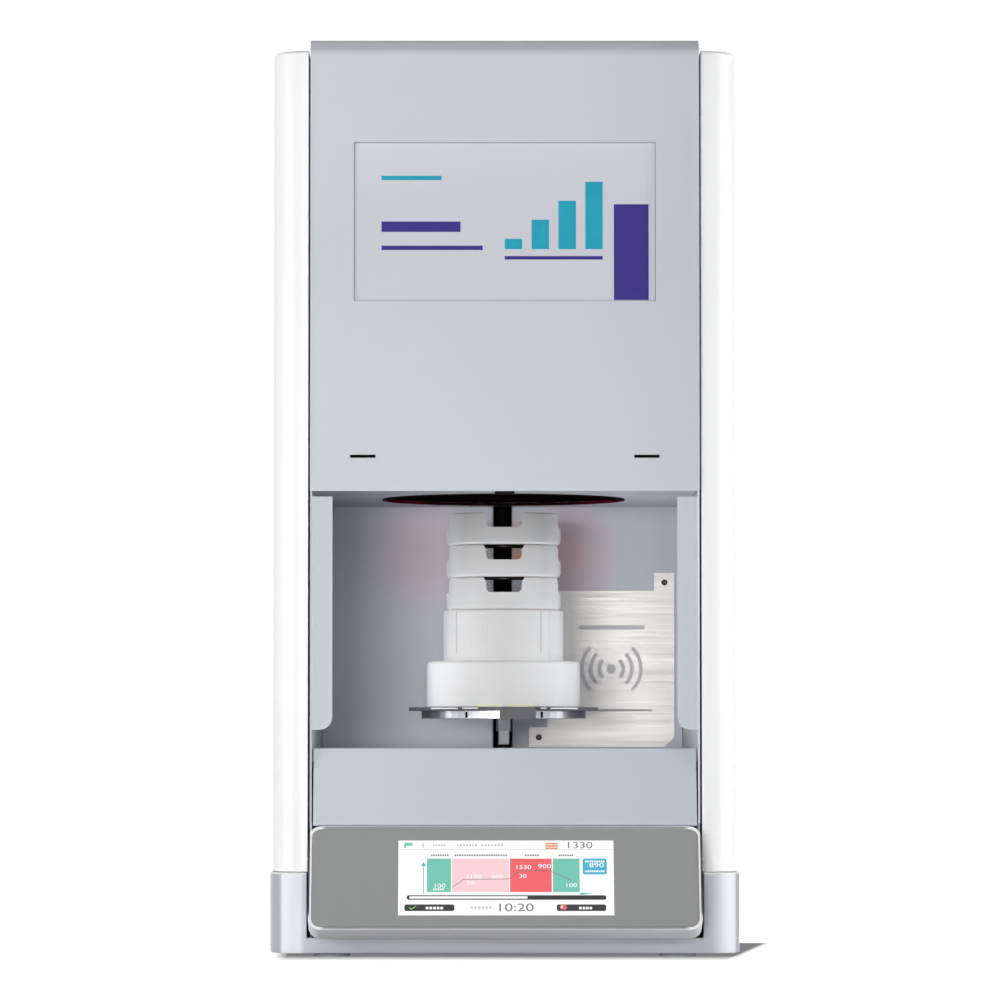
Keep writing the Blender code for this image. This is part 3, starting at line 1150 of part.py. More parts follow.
def make_rear():
    half = SIDE_OUTER_X
    path = [(-half, COVER_Y - REAR_LIP), (-half, COVER_Y), (half, COVER_Y), (half, COVER_Y - REAR_LIP)]
    cover = folded("rear_cover", rounded(path, SHEET), "Z", BASE_FLOOR + GAP,
                   CABINET_HEIGHT - HOOD_LIP - GAP,
                   painted_grey, side=-1.0)
    for column in (-1.0, 1.0):
        for row in range(LOUVRE_COUNT):
            x = column * LOUVRE_X
            z = LOUVRE_BOTTOM + row * LOUVRE_PITCH
            combine(cover, block(f"louvre_{column:+.0f}_{row}",
                                 (x - LOUVRE_LENGTH / 2, COVER_Y - SHEET - OVERRUN, z),
                                 (x + LOUVRE_LENGTH / 2, COVER_Y + OVERRUN, z + LOUVRE_WIDTH)))
    facing = (pi / 2, 0.0, 0.0)
    reach = SHEET + OVERRUN
    fan_hole = turned("fan_hole",
                      [(0.0, reach), (FAN_BORE / 2, reach), (FAN_BORE / 2, -reach), (0.0, -reach)],
                      place=(FAN_X, COVER_Y - SHEET / 2, FAN_Z), turn=facing)
    combine(cover, fan_hole)
    body_x = INLET_WIDTH / 2
    body_z = INLET_HEIGHT / 2
    combine(cover, block("inlet_hole", (INLET_X - body_x - GAP, COVER_Y - reach, INLET_Z - body_z - GAP),
                         (INLET_X + body_x + GAP, COVER_Y + reach, INLET_Z + body_z + GAP)))
    make_fan()
    make_inlet()


def make_fan():
    rear = COVER_Y - SHEET - GAP
    front = rear - FAN_DEPTH
    half = FAN_SIDE / 2
    frame = block("fan_frame", (FAN_X - half, front, FAN_Z - half), (FAN_X + half, rear, FAN_Z + half),
                  black_plastic,
                  along="Y", radius=FAN_CORNER)
    facing = (pi / 2, 0.0, 0.0)
    middle = (FAN_X, (front + rear) / 2, FAN_Z)
    reach = FAN_DEPTH / 2 + OVERRUN
    hole = turned("fan_bore", [(0.0, reach), (FAN_BORE / 2, reach), (FAN_BORE / 2, -reach), (0.0, -reach)],
                  place=middle, turn=facing)
    combine(frame, hole)
    seat = turned("fan_seat", [(0.0, FAN_STRUT_DEPTH), (FAN_SEAT_DIAMETER / 2, FAN_STRUT_DEPTH),
                               (FAN_SEAT_DIAMETER / 2, 0.0), (0.0, 0.0)],
                  place=(FAN_X, front + FAN_STRUT_DEPTH, FAN_Z), turn=facing, steps=SMALL_STEPS)
    strut = FAN_STRUT_WIDTH / 2
    reach = FAN_BORE / 2 + OVERRUN / 2
    across = block("fan_strut_across", (FAN_X - reach, front, FAN_Z - strut),
                   (FAN_X + reach, front + FAN_STRUT_DEPTH, FAN_Z + strut))
    upright = block("fan_strut_upright", (FAN_X - strut, front, FAN_Z - reach),
                    (FAN_X + strut, front + FAN_STRUT_DEPTH, FAN_Z + reach))
    for piece in (across, upright, seat):
        combine(frame, piece, "UNION")
    axis = empty("fan_axis", (FAN_X, front + FAN_STRUT_DEPTH + GAP, FAN_Z))
    hub = turned("fan_rotor",
                 [(0.0, 0.0), (FAN_HUB_DIAMETER / 2, 0.0), (FAN_HUB_DIAMETER / 2, -FAN_HUB_HEIGHT),
                               (0.0, -FAN_HUB_HEIGHT)],
                 black_plastic, axis.location, axis, steps=SMALL_STEPS, turn=facing)
    inner = FAN_HUB_DIAMETER / 2 - OVERRUN
    outer = FAN_BORE / 2 - FAN_TIP_CLEARANCE
    chord = FAN_HUB_HEIGHT * FAN_CHORD_SHARE
    for i in range(FAN_BLADES):
        bm = block_mesh(Vector((FAN_BLADE_THICKNESS, chord, outer - inner)), "Z", 0.0, None, ())
        bmesh.ops.rotate(bm, matrix=Matrix.Rotation(FAN_BLADE_TILT, 3, "Z"), verts=bm.verts)
        bmesh.ops.translate(bm, vec=(0.0, FAN_HUB_HEIGHT / 2, (outer + inner) / 2), verts=bm.verts)
        bmesh.ops.rotate(bm, matrix=Matrix.Rotation(2 * pi * i / FAN_BLADES, 3, "Y"), verts=bm.verts)
        blade = register(f"fan_blade_{i}", to_mesh(f"fan_blade_{i}", bm), None, (0.0, 0.0, 0.0), axis)
        combine(hub, blade, "UNION")
    make_grille(facing)


def make_grille(facing):
    place = (FAN_X, COVER_Y + GAP + GRILLE_WIRE, FAN_Z)
    wire = GRILLE_WIRE
    spread_rings = (GRILLE_DIAMETER / 2 - wire) / GRILLE_RINGS
    outer = GRILLE_DIAMETER / 2
    grille = turned("fan_grille", [(outer, wire), (outer, 0.0), (outer - wire, 0.0), (outer - wire, wire)],
                    polished_steel, place, turn=facing)
    for i in range(1, GRILLE_RINGS):
        radius = outer - i * spread_rings
        combine(grille, turned(f"grille_ring_{i}", [(radius, wire), (radius, 0.0), (radius - wire, 0.0),
                                                   (radius - wire, wire)], place=place, turn=facing),
                "UNION")
    half = wire / 2
    back = COVER_Y + GAP
    for name, x, z in (("across", outer - half, half), ("upright", half, outer - half)):
        combine(grille, block(f"grille_bar_{name}", (FAN_X - x, back, FAN_Z - z),
                              (FAN_X + x, back + wire, FAN_Z + z)),
                "UNION")


def make_inlet():
    half_x = INLET_WIDTH / 2
    half_z = INLET_HEIGHT / 2
    face = COVER_Y + GAP + INLET_FLANGE_THICKNESS
    inlet = block("power_inlet", (INLET_X - half_x, face - INLET_DEPTH, INLET_Z - half_z),
                  (INLET_X + half_x, face, INLET_Z + half_z), black_plastic)
    flange = block("inlet_flange",
                   (INLET_X - half_x - INLET_FLANGE, COVER_Y + GAP, INLET_Z - half_z - INLET_FLANGE),
                   (INLET_X + half_x + INLET_FLANGE, face, INLET_Z + half_z + INLET_FLANGE),
                   along="Y", radius=INLET_FLANGE)
    combine(inlet, flange, "UNION")
    low = INLET_Z - half_z + SOCKET_RISE
    floor = face - SOCKET_DEPTH
    combine(inlet, block("socket_well", (INLET_X - SOCKET_WIDTH / 2, floor, low),
                         (INLET_X + SOCKET_WIDTH / 2, face + OVERRUN, low + SOCKET_HEIGHT), along="Y",
                         radius=SOCKET_CORNER, keep=lambda middle: middle.z > 0))
    middle = low + SOCKET_HEIGHT / 2
    for i, rise in ((-1, -PIN_OFFSET), (0, PIN_OFFSET), (1, -PIN_OFFSET)):
        x = INLET_X + i * PIN_PITCH
        combine(inlet, block(f"inlet_pin_{i + 1}",
                             (x - PIN_WIDTH / 2, floor - PIN_WIDTH, middle + rise - PIN_HEIGHT / 2),
                             (x + PIN_WIDTH / 2, floor + PIN_LENGTH, middle + rise + PIN_HEIGHT / 2)),
                "UNION")
    rocker_z = INLET_Z - half_z + ROCKER_RISE
    reach = ROCKER_HEIGHT / 2 * sin(ROCKER_TILT) + ROCKER_THICKNESS / 2 * cos(ROCKER_TILT)
    pivot = Vector((INLET_X, face - reach, rocker_z))
    side = ROCKER_WIDTH / 2 + GAP
    height = ROCKER_HEIGHT / 2 + ROCKER_POCKET_GAP
    combine(inlet, block("rocker_pocket",
                         (INLET_X - side, face - ROCKER_POCKET_DEPTH - reach / 2, rocker_z - height),
                         (INLET_X + side, face + OVERRUN, rocker_z + height)))
    axis = empty("switch_axis", pivot)
    size = Vector((ROCKER_WIDTH, ROCKER_THICKNESS, ROCKER_HEIGHT))
    bm = block_mesh(size, "X", 0.0, None, ())
    bmesh.ops.rotate(bm, matrix=Matrix.Rotation(ROCKER_TILT, 3, "X"), verts=bm.verts)
    register("power_switch", to_mesh("power_switch", bm), black_plastic, (0.0, 0.0, 0.0), axis)


def make_power_parts():
    floor = BASE_FLOOR + GAP
    y = depth(TRANSFORMER_Y_DEPTH)
    core = block("transformer", (TRANSFORMER_X - TRANSFORMER_WIDTH / 2, y - TRANSFORMER_DEPTH / 2, floor),
                 (TRANSFORMER_X + TRANSFORMER_WIDTH / 2, y + TRANSFORMER_DEPTH / 2,
                  floor + TRANSFORMER_HEIGHT),
                 dark_steel)
    rise = (TRANSFORMER_HEIGHT - TRANSFORMER_COIL_HEIGHT) / 2
    coil = block("transformer_coil",
                 (TRANSFORMER_X - TRANSFORMER_COIL_WIDTH / 2, y - TRANSFORMER_COIL_DEPTH / 2, floor + rise),
                 (TRANSFORMER_X + TRANSFORMER_COIL_WIDTH / 2, y + TRANSFORMER_COIL_DEPTH / 2,
                  floor + rise + TRANSFORMER_COIL_HEIGHT), radius=TRANSFORMER_COIL_ROUND)
    combine(core, coil, "UNION")
    y = depth(RELAY_Y_DEPTH)
    sink = floor + RELAY_FIN_HEIGHT
    relay = block("power_relay", (RELAY_X - RELAY_SINK_WIDTH / 2, y - RELAY_SINK_LENGTH / 2, sink),
                  (RELAY_X + RELAY_SINK_WIDTH / 2, y + RELAY_SINK_LENGTH / 2, sink + RELAY_SINK_BASE),
                  cast_grey)
    for i in range(RELAY_FIN_COUNT):
        x = RELAY_X + (i / (RELAY_FIN_COUNT - 1) - 0.5) * (RELAY_SINK_WIDTH - RELAY_FIN)
        combine(relay, block(f"relay_fin_{i}", (x - RELAY_FIN / 2, y - RELAY_SINK_LENGTH / 2, floor),
                             (x + RELAY_FIN / 2, y + RELAY_SINK_LENGTH / 2, sink + RELAY_SINK_BASE / 2)),
                "UNION")
    top = sink + RELAY_SINK_BASE
    body = block("relay_body", (RELAY_X - RELAY_WIDTH / 2, y - RELAY_LENGTH / 2, top - RELAY_SINK_BASE / 2),
                 (RELAY_X + RELAY_WIDTH / 2, y + RELAY_LENGTH / 2, top + RELAY_HEIGHT))
    combine(relay, body, "UNION")


for leftover in list(bpy.data.objects):
    bpy.data.objects.remove(leftover)
parts = collection("dental_furnace")
cutters = collection("cutters")

painted_grey = look("painted_grey", (0.58, 0.61, 0.67), 0.45)
white_enamel = look("white_enamel", (0.93, 0.93, 0.94), 0.35)
badge_film = look("badge_film", (0.60, 0.62, 0.68), 0.5)
dark_rubber = look("dark_rubber", (0.05, 0.05, 0.05), 0.8)
plain_steel = look("plain_steel", (0.45, 0.46, 0.48), 0.4, 1.0)
brushed_steel = look("brushed_steel", (0.73, 0.72, 0.70), 0.35, 1.0)
polished_steel = look("polished_steel", (0.75, 0.75, 0.77), 0.15, 1.0)
burnt_steel = look("burnt_steel", (0.05, 0.05, 0.06), 0.4, 1.0)
dark_steel = look("dark_steel", (0.08, 0.08, 0.09), 0.5, 0.6)
cast_grey = look("cast_grey", (0.16, 0.17, 0.18), 0.5, 0.5)
bronze = look("bronze", (0.55, 0.38, 0.18), 0.35, 1.0)
fibre_board = look("fibre_board", (0.86, 0.86, 0.85), 0.85)
ceramic_white = look("ceramic_white", (0.80, 0.80, 0.79), 0.6)
element_dark = look("element_dark", (0.12, 0.10, 0.10), 0.6)
display_silver = look("display_silver", (0.80, 0.81, 0.82), 0.3)
display_grey = look("display_grey", (0.29, 0.30, 0.30), 0.5)
screen_glass = look("screen_glass", (0.90, 0.92, 0.93), 0.1)
circuit_green = look("circuit_green", (0.03, 0.20, 0.08), 0.5)
black_plastic = look("black_plastic", (0.03, 0.03, 0.03), 0.45)

make_base()
mirrored(make_side_casing)
make_hood()
make_bay()
make_lower_panel()
make_display()
make_sensor_plate()
make_chamber()
lift_axis = empty("lift_axis", (0.0, DRIVE_Y, CARRIAGE_BOTTOM))
screw_axis = empty("screw_axis", (0.0, DRIVE_Y, COUPLING_BOTTOM))
make_drive(lift_axis, screw_axis)
make_stack(lift_axis)
tray_bottom = PEDESTAL_TOP + GAP
for tray in range(TRAY_COUNT):
    tray_axis = empty(f"tray_axis_{tray + 1}", (0.0, STACK_Y, tray_bottom))
    make_tray(tray, tray_bottom, tray_axis)
    tray_bottom += TRAY_HEIGHT + GAP
make_rear()
make_power_parts()
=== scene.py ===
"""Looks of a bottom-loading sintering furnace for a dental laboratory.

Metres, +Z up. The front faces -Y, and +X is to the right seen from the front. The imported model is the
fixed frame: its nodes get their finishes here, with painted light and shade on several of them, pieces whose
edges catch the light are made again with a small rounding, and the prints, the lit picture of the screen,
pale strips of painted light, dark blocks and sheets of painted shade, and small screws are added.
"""
import json
from math import atan
from math import cos
from math import pi
from math import radians
from math import sin

import bpy
from mathutils import Matrix
from mathutils import Vector

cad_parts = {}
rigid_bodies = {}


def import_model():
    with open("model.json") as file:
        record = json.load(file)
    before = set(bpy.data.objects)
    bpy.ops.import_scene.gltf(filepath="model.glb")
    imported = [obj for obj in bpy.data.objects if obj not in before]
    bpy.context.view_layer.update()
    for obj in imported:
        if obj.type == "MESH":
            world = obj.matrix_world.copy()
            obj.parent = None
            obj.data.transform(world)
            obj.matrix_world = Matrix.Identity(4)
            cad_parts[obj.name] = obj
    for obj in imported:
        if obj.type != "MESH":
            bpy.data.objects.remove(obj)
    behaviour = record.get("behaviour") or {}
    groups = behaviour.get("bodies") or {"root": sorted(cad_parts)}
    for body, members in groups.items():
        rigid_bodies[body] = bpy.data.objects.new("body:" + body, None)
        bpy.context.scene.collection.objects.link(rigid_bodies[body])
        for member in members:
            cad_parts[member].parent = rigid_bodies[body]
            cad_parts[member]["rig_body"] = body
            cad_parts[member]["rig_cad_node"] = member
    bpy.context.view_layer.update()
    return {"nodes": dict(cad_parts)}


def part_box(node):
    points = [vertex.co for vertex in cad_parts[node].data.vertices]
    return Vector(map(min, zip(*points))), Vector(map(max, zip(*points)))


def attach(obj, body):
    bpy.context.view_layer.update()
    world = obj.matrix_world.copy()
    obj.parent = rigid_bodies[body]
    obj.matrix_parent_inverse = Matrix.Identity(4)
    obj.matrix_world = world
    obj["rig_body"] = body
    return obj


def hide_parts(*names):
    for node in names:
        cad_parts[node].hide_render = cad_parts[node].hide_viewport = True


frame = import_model()
nodes = frame["nodes"]
TRAY_FOOT_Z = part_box("sintering_tray_1")[0][2]

# The photograph's frame: a long lens, straight on, a little upwards
IMAGE_PIXELS = 1000
FOCAL_PIXELS = 5040
HORIZON_ROW = 733
SENSOR_WIDTH = 36.0
EYE = Vector((-0.029, -4.456, 0.1886))
FRAME_SHIFT = 0.0295
VIEW_DEPTH = 60.0

# The lift's axis
STACK_Y = -0.043

# How far thin prints stand off what carries them
PRINT_LIFT = 0.00006
PRINT_THICKNESS = 0.00008
# Corners nearer to each other than this are one corner
MERGE = 0.000005


def linear(red, green, blue):
    """A colour as a screen shows it, 0 to 255, in the renderer's linear values."""
    return tuple(((value / 255 + 0.055) / 1.055) ** 2.4 if value > 10 else value / 255 / 12.92
                 for value in (red, green, blue))


# Colours as the photograph shows them
GREY_PAINT = linear(202, 205, 214)
BAY_PAINT = linear(196, 199, 209)
BASE_PAINT = linear(235, 238, 243)
BASE_SHADE = linear(159, 161, 172)
WHITE_PAINT = linear(252, 252, 252)
WHITE = linear(255, 255, 255)
BADGE_PAINT = linear(207, 209, 218)
INDIGO = linear(63, 49, 135)
TEAL = linear(35, 164, 189)
PLATE_GREY = linear(150, 151, 151)
SILVER = linear(207, 209, 211)
TRIM_WHITE = linear(252, 252, 252)
FOOT_LIT_GREY = linear(222, 223, 228)
ROSE_GLOW = linear(206, 160, 160)
EMBER = linear(126, 26, 52)
CERAMIC = linear(238, 238, 237)
STEEL = linear(196, 196, 194)
DARK_METAL = linear(52, 54, 58)


# Shader building


def add_node(tree, kind, **settings):
    made = tree.nodes.new(kind)
    for name, value in settings.items():
        setattr(made, name, value)
    return made


def feed(tree, source, target):
    """Links an output to an input, or sets the input to a plain value."""
    if hasattr(source, "links"):
        tree.links.new(source, target)
    elif hasattr(target.default_value, "__len__") and len(target.default_value) == 4 and len(source) == 3:
        target.default_value = (*source, 1.0)
    else:
        target.default_value = source


def new_group(name, inputs, outputs):
    """A shader group with named sockets: {name: (socket type, default)} and {name: socket type}."""
    group = bpy.data.node_groups.new(name, "ShaderNodeTree")
    for socket, (kind, default) in inputs.items():
        made = group.interface.new_socket(socket, in_out="INPUT", socket_type=kind)
        made.default_value = default
    for socket, kind in outputs.items():
        group.interface.new_socket(socket, in_out="OUTPUT", socket_type=kind)
    return group, group.nodes.new("NodeGroupInput"), group.nodes.new("NodeGroupOutput")


def calc(tree, operation, first, second=0.0, clamp=False):
    made = add_node(tree, "ShaderNodeMath", operation=operation, use_clamp=clamp)
    feed(tree, first, made.inputs[0])
    feed(tree, second, made.inputs[1])
    return made.outputs[0]


def noise(tree, vector, scale, detail=2.0, roughness=0.5):
    made = add_node(tree, "ShaderNodeTexNoise")
    feed(tree, vector, made.inputs["Vector"])
    feed(tree, scale, made.inputs["Scale"])
    made.inputs["Detail"].default_value = detail
    made.inputs["Roughness"].default_value = roughness
    return made.outputs["Fac"]


def mix_colour(tree, share, first, second):
    made = add_node(tree, "ShaderNodeMix", data_type="RGBA")
    feed(tree, share, made.inputs[0])
    feed(tree, first, made.inputs[6])
    feed(tree, second, made.inputs[7])
    return made.outputs[2]


def spread_out(tree, value, low, high, to_low, to_high):
    made = add_node(tree, "ShaderNodeMapRange")
    for name, number in (("From Min", low), ("From Max", high), ("To Min", to_low), ("To Max", to_high)):
        made.inputs[name].default_value = number
    feed(tree, value, made.inputs["Value"])
    return made.outputs["Result"]


def stretched(tree, vector, scale):
    made = add_node(tree, "ShaderNodeMapping")
    feed(tree, vector, made.inputs["Vector"])
    made.inputs["Scale"].default_value = scale
    return made.outputs["Vector"]


def bump(tree, height, distance):
    made = add_node(tree, "ShaderNodeBump")
    feed(tree, distance, made.inputs["Distance"])
    feed(tree, height, made.inputs["Height"])
    return made.outputs["Normal"]


# The part of a noise that each effect stretches over its whole range
DRIFT_CUT = (0.3, 0.7)
SPECK_CUT = (0.45, 0.8)
STROKE_CUT = (0.3, 0.7)
WEAR_CUT = (0.35, 0.65)
LEAST_WEAR = 0.35
WEAR_SCALE = 60.0
FINE_DIMPLES = 4.0
# The cosine between a rounded and a flat normal at which an edge counts as fully worn and fully lit by the
# painted edge highlight
WORN_TURN = 0.8


def build_mottle():
    """Slow drifts of tone and fine specks over any surface."""
    group, inside, out = new_group(
        "mottle",
        {"Vector": ("NodeSocketVector", (0.0, 0.0, 0.0)), "Colour": ("NodeSocketColor", (0.8, 0.8, 0.8, 1.0)),
         "Second Colour": ("NodeSocketColor", (0.6, 0.6, 0.6, 1.0)), "Drift Scale": ("NodeSocketFloat", 12.0),
         "Speck Scale": ("NodeSocketFloat", 900.0), "Drift": ("NodeSocketFloat", 0.2),
         "Specks": ("NodeSocketFloat", 0.1)},
        {"Colour": "NodeSocketColor", "Value": "NodeSocketFloat"})
    place = inside.outputs["Vector"]
    drift = spread_out(group, noise(group, place, inside.outputs["Drift Scale"], 4.0), *DRIFT_CUT, 0, 1)
    speck = spread_out(group, noise(group, place, inside.outputs["Speck Scale"], 1.0), *SPECK_CUT, 0, 1)
    value = calc(group, "ADD", calc(group, "MULTIPLY", drift, inside.outputs["Drift"]),
                 calc(group, "MULTIPLY", speck, inside.outputs["Specks"]), clamp=True)
    group.links.new(mix_colour(group, value, inside.outputs["Colour"], inside.outputs["Second Colour"]),
                    out.inputs["Colour"])
    group.links.new(value, out.inputs["Value"])
    return group


def build_orange_peel():
    """The faint dimples of a baked powder coat or of pressed fibre."""
    group, inside, out = new_group(
        "orange_peel",
        {"Vector": ("NodeSocketVector", (0.0, 0.0, 0.0)), "Scale": ("NodeSocketFloat", 700.0),
         "Depth": ("NodeSocketFloat", 0.00002), "Detail Share": ("NodeSocketFloat", 0.3)},
        {"Normal": "NodeSocketVector", "Height": "NodeSocketFloat"})
    place = inside.outputs["Vector"]
    coarse = noise(group, place, inside.outputs["Scale"])
    fine = noise(group, place, calc(group, "MULTIPLY", inside.outputs["Scale"], FINE_DIMPLES))
    height = calc(group, "ADD", coarse, calc(group, "MULTIPLY", fine, inside.outputs["Detail Share"]))
    group.links.new(bump(group, height, inside.outputs["Depth"]), out.inputs["Normal"])
    group.links.new(height, out.inputs["Height"])
    return group


def build_brushing():
    """Long fine strokes in one direction, as on brushed sheet."""
    group, inside, out = new_group(
        "brushing",
        {"Vector": ("NodeSocketVector", (0.0, 0.0, 0.0)), "Depth": ("NodeSocketFloat", 0.00001),
         "Low": ("NodeSocketFloat", 0.25), "High": ("NodeSocketFloat", 0.45)},
        {"Roughness": "NodeSocketFloat", "Normal": "NodeSocketVector", "Value": "NodeSocketFloat"})
    strokes = noise(group, inside.outputs["Vector"], 1.0, 3.0, 0.6)
    value = spread_out(group, strokes, *STROKE_CUT, 0, 1)
    span = calc(group, "SUBTRACT", inside.outputs["High"], inside.outputs["Low"])
    rough = calc(group, "ADD", inside.outputs["Low"], calc(group, "MULTIPLY", value, span))
    group.links.new(rough, out.inputs["Roughness"])
    group.links.new(bump(group, strokes, inside.outputs["Depth"]), out.inputs["Normal"])
    group.links.new(value, out.inputs["Value"])
    return group


def build_edge_mask():
    """White where a surface turns over an edge, broken up by noise: worn paint or polished metal, and a
    painted highlight along the edge as well.
    """
    group, inside, out = new_group(
        "edge_mask",
        {"Vector": ("NodeSocketVector", (0.0, 0.0, 0.0)), "Radius": ("NodeSocketFloat", 0.0008),
         "Strength": ("NodeSocketFloat", 1.0)},
        {"Mask": "NodeSocketFloat"})
    soft = add_node(group, "ShaderNodeBevel", samples=4)
    feed(group, inside.outputs["Radius"], soft.inputs["Radius"])
    flat = add_node(group, "ShaderNodeNewGeometry")
    dot = add_node(group, "ShaderNodeVectorMath", operation="DOT_PRODUCT")
    group.links.new(soft.outputs["Normal"], dot.inputs[0])
    group.links.new(flat.outputs["True Normal"], dot.inputs[1])
    turn = spread_out(group, dot.outputs["Value"], 1.0, WORN_TURN, 0, 1)
    patch = noise(group, inside.outputs["Vector"], WEAR_SCALE, 4.0)
    patch = spread_out(group, patch, *WEAR_CUT, LEAST_WEAR, 1)
    worn_and_lit = calc(group, "MULTIPLY", turn, patch)
    group.links.new(calc(group, "MULTIPLY", worn_and_lit, inside.outputs["Strength"], clamp=True), out.inputs["Mask"])
    return group


MOTTLE = build_mottle()
ORANGE_PEEL = build_orange_peel()
BRUSHING = build_brushing()
EDGE_MASK = build_edge_mask()


def use_group(tree, group, **inputs):
    made = add_node(tree, "ShaderNodeGroup", node_tree=group)
    for name, value in inputs.items():
        feed(tree, value, made.inputs[name.replace("_", " ")])
    return made.outputs


def start_material(name, roughness=0.5, metallic=0.0, specular=0.5):
    made = bpy.data.materials.new(name)
    made.use_nodes = True
    tree = made.node_tree
    shader = tree.nodes["Principled BSDF"]
    shader.inputs["Roughness"].default_value = roughness
    shader.inputs["Metallic"].default_value = metallic
    shader.inputs["Specular IOR Level"].default_value = specular
    place = add_node(tree, "ShaderNodeTexCoord").outputs["Object"]
    return made, tree, shader, place


# How a finish's second tones follow from its colour: factors, and what is added to them
POWDER_STAIN = 0.88
RUBBED_AND_HIGHLIT_POWDER = 1.2
POWDER_MATTER = 0.1
STROKE_SHADE = 0.25
DULL_METAL = 0.72
RUBBED_AND_HIGHLIT_METAL = (1.25, 0.03)
FIBRE_MATTER = 0.15
THIN_INK = (1.12, 0.004)
DIM_LIGHT = 0.93
UNLIT_SHARE = 0.1
# How far a noise on the back wall breaks up its painted spots of glow and shade
RAGGED_SCALE = 40.0
RAGGED_CUT = (0.2, 0.8)
LEAST_RAGGED = 0.75


def paint(name, colour, second=None, roughness=0.42, drift=0.12, specks=0.05, peel_scale=900.0,
          peel_depth=0.00002, edge=0.25, specular=0.5):
    """Baked powder coat: near-even colour, orange peel, and edges a little paler where hands rub, which also
    paints a highlight along them.
    """
    made, tree, shader, place = start_material(name, roughness, specular=specular)
    second = second or tuple(value * POWDER_STAIN for value in colour)
    tone = use_group(tree, MOTTLE, Vector=place, Colour=colour, Second_Colour=second, Drift=drift,
                     Specks=specks, Drift_Scale=9.0, Speck_Scale=1400.0)
    peel = use_group(tree, ORANGE_PEEL, Vector=place, Scale=peel_scale, Depth=peel_depth)
    worn_and_lit = use_group(tree, EDGE_MASK, Vector=place, Strength=edge)
    pale = tuple(min(1.0, value * RUBBED_AND_HIGHLIT_POWDER) for value in colour)
    feed(tree, mix_colour(tree, worn_and_lit["Mask"], tone["Colour"], pale), shader.inputs["Base Color"])
    feed(tree, spread_out(tree, tone["Value"], 0, 1, roughness, roughness + POWDER_MATTER),
         shader.inputs["Roughness"])
    feed(tree, peel["Normal"], shader.inputs["Normal"])
    return made


def along(tree, axis):
    """How far a point of the surface lies along an axis."""
    split = add_node(tree, "ShaderNodeSeparateXYZ")
    feed(tree, add_node(tree, "ShaderNodeTexCoord").outputs["Object"], split.inputs[0])
    return split.outputs[axis]


def tones(tree, value, stops_at):
    """A share that changes with a value: pairs of a place and the share there, in rising order."""
    low = stops_at[0][0]
    high = stops_at[-1][0]
    ramp = add_node(tree, "ShaderNodeValToRGB")
    stops = ramp.color_ramp.elements
    while len(stops) < len(stops_at):
        stops.new(0.5)
    for stop, (place, share) in zip(stops, stops_at):
        stop.position = (place - low) / (high - low)
        stop.color = (share, share, share, 1.0)
    feed(tree, spread_out(tree, value, low, high, 0, 1), ramp.inputs["Fac"])
    return ramp.outputs["Color"]


def tint(made, share, colour):
    """Mixes a colour over what a material's surface already shows."""
    tree = made.node_tree
    base_colour = tree.nodes["Principled BSDF"].inputs["Base Color"]
    coat = base_colour.links[0].from_socket
    feed(tree, mix_colour(tree, share, coat, colour), base_colour)


# Painted shade and highlight across the base: its coat is greyer where light falls less on the rounded shoes
# and the strip between them; places across it, and how grey it is there
SHOE_PAINTED_SHADE = ((-0.198, 0.5), (-0.1945, 0.85), (-0.1890, 0.8), (-0.1875, 0.05), (-0.1725, 0.02),
              (-0.1685, 0.55), (-0.150, 0.85), (-0.120, 1.0), (0.166, 0.78), (0.174, 0.6), (0.182, 0.2),
              (0.1932, 0.05), (0.1950, 1.0))
# The painted shadow on the upper part of the bar under the display, by height, and how it fades towards the
# shoes
BAR_PAINTED_SHADOW_HEIGHTS = ((0.0, 0.0), (0.0116, 0.0), (0.0122, 1.0), (0.0172, 1.0), (0.0180, 0.0), (0.08, 0.0))
BAR_REACH = ((-0.160, 0.0), (-0.105, 0.9), (0.0, 1.0), (0.14, 0.9), (0.163, 0.0))
BAR_PAINTED_SHADOW_GREY = linear(154, 155, 161)
BASE_RIM_Z = 0.0714
BASE_RIM_HIGHLIGHT = 0.0014


def make_base_paint():
    """The base's coat, with painted shade and highlights: pale shoes at both ends, a greyer strip between
    them, a painted shadow under the display and a bright painted highlight along the upper rim.
    """
    made = paint("base_powder_coat", BASE_PAINT, roughness=0.38)
    tree = made.node_tree
    height = along(tree, "Z")
    tint(made, tones(tree, along(tree, "X"), SHOE_PAINTED_SHADE), BASE_SHADE)
    middle = tones(tree, along(tree, "X"), BAR_REACH)
    tint(made, calc(tree, "MULTIPLY", tones(tree, height, BAR_PAINTED_SHADOW_HEIGHTS), middle), BAR_PAINTED_SHADOW_GREY)
    # Painted highlight along the base's upper rim
    tint(made, spread_out(tree, height, BASE_RIM_Z - BASE_RIM_HIGHLIGHT, BASE_RIM_Z - BASE_RIM_HIGHLIGHT / 2, 0, 1), WHITE_PAINT)
    return made


# The display's rim is white at its ends and darker along its middle, a painted reflection on its rounded edge
RIM_PAINTED_REFLECTION = ((-0.1645, 0.0), (-0.1545, 0.0), (-0.150, 0.6), (-0.115, 1.0), (0.110, 1.0), (0.149, 0.7),
             (0.1545, 0.0), (0.1645, 0.0))
CHIN_PAINTED_LIGHT = ((-0.1645, 0.8), (-0.155, 0.35), (-0.14, 0.05), (-0.10, 0.0), (0.0, 0.15), (0.08, 0.5),
              (0.12, 0.75), (0.1645, 0.85))
CHIN_PAINTED_SHADE = linear(224, 224, 226)
CHIN_LIT_PALE = linear(246, 247, 249)
CHIN_TURN = -0.5
RIM_LOW = 0.0257
RIM_HIGH = 0.1096
RIM_BLEND = 0.0004
RIM_MIDDLE = (0.150, 0.154)
# Painted shade on the ends of the housing, from a little above its foot
RIM_SIDE = 0.1634
RIM_SIDE_FOOT = (0.034, 0.040)
RIM_SIDE_PAINTED_SHADE = linear(66, 67, 71)


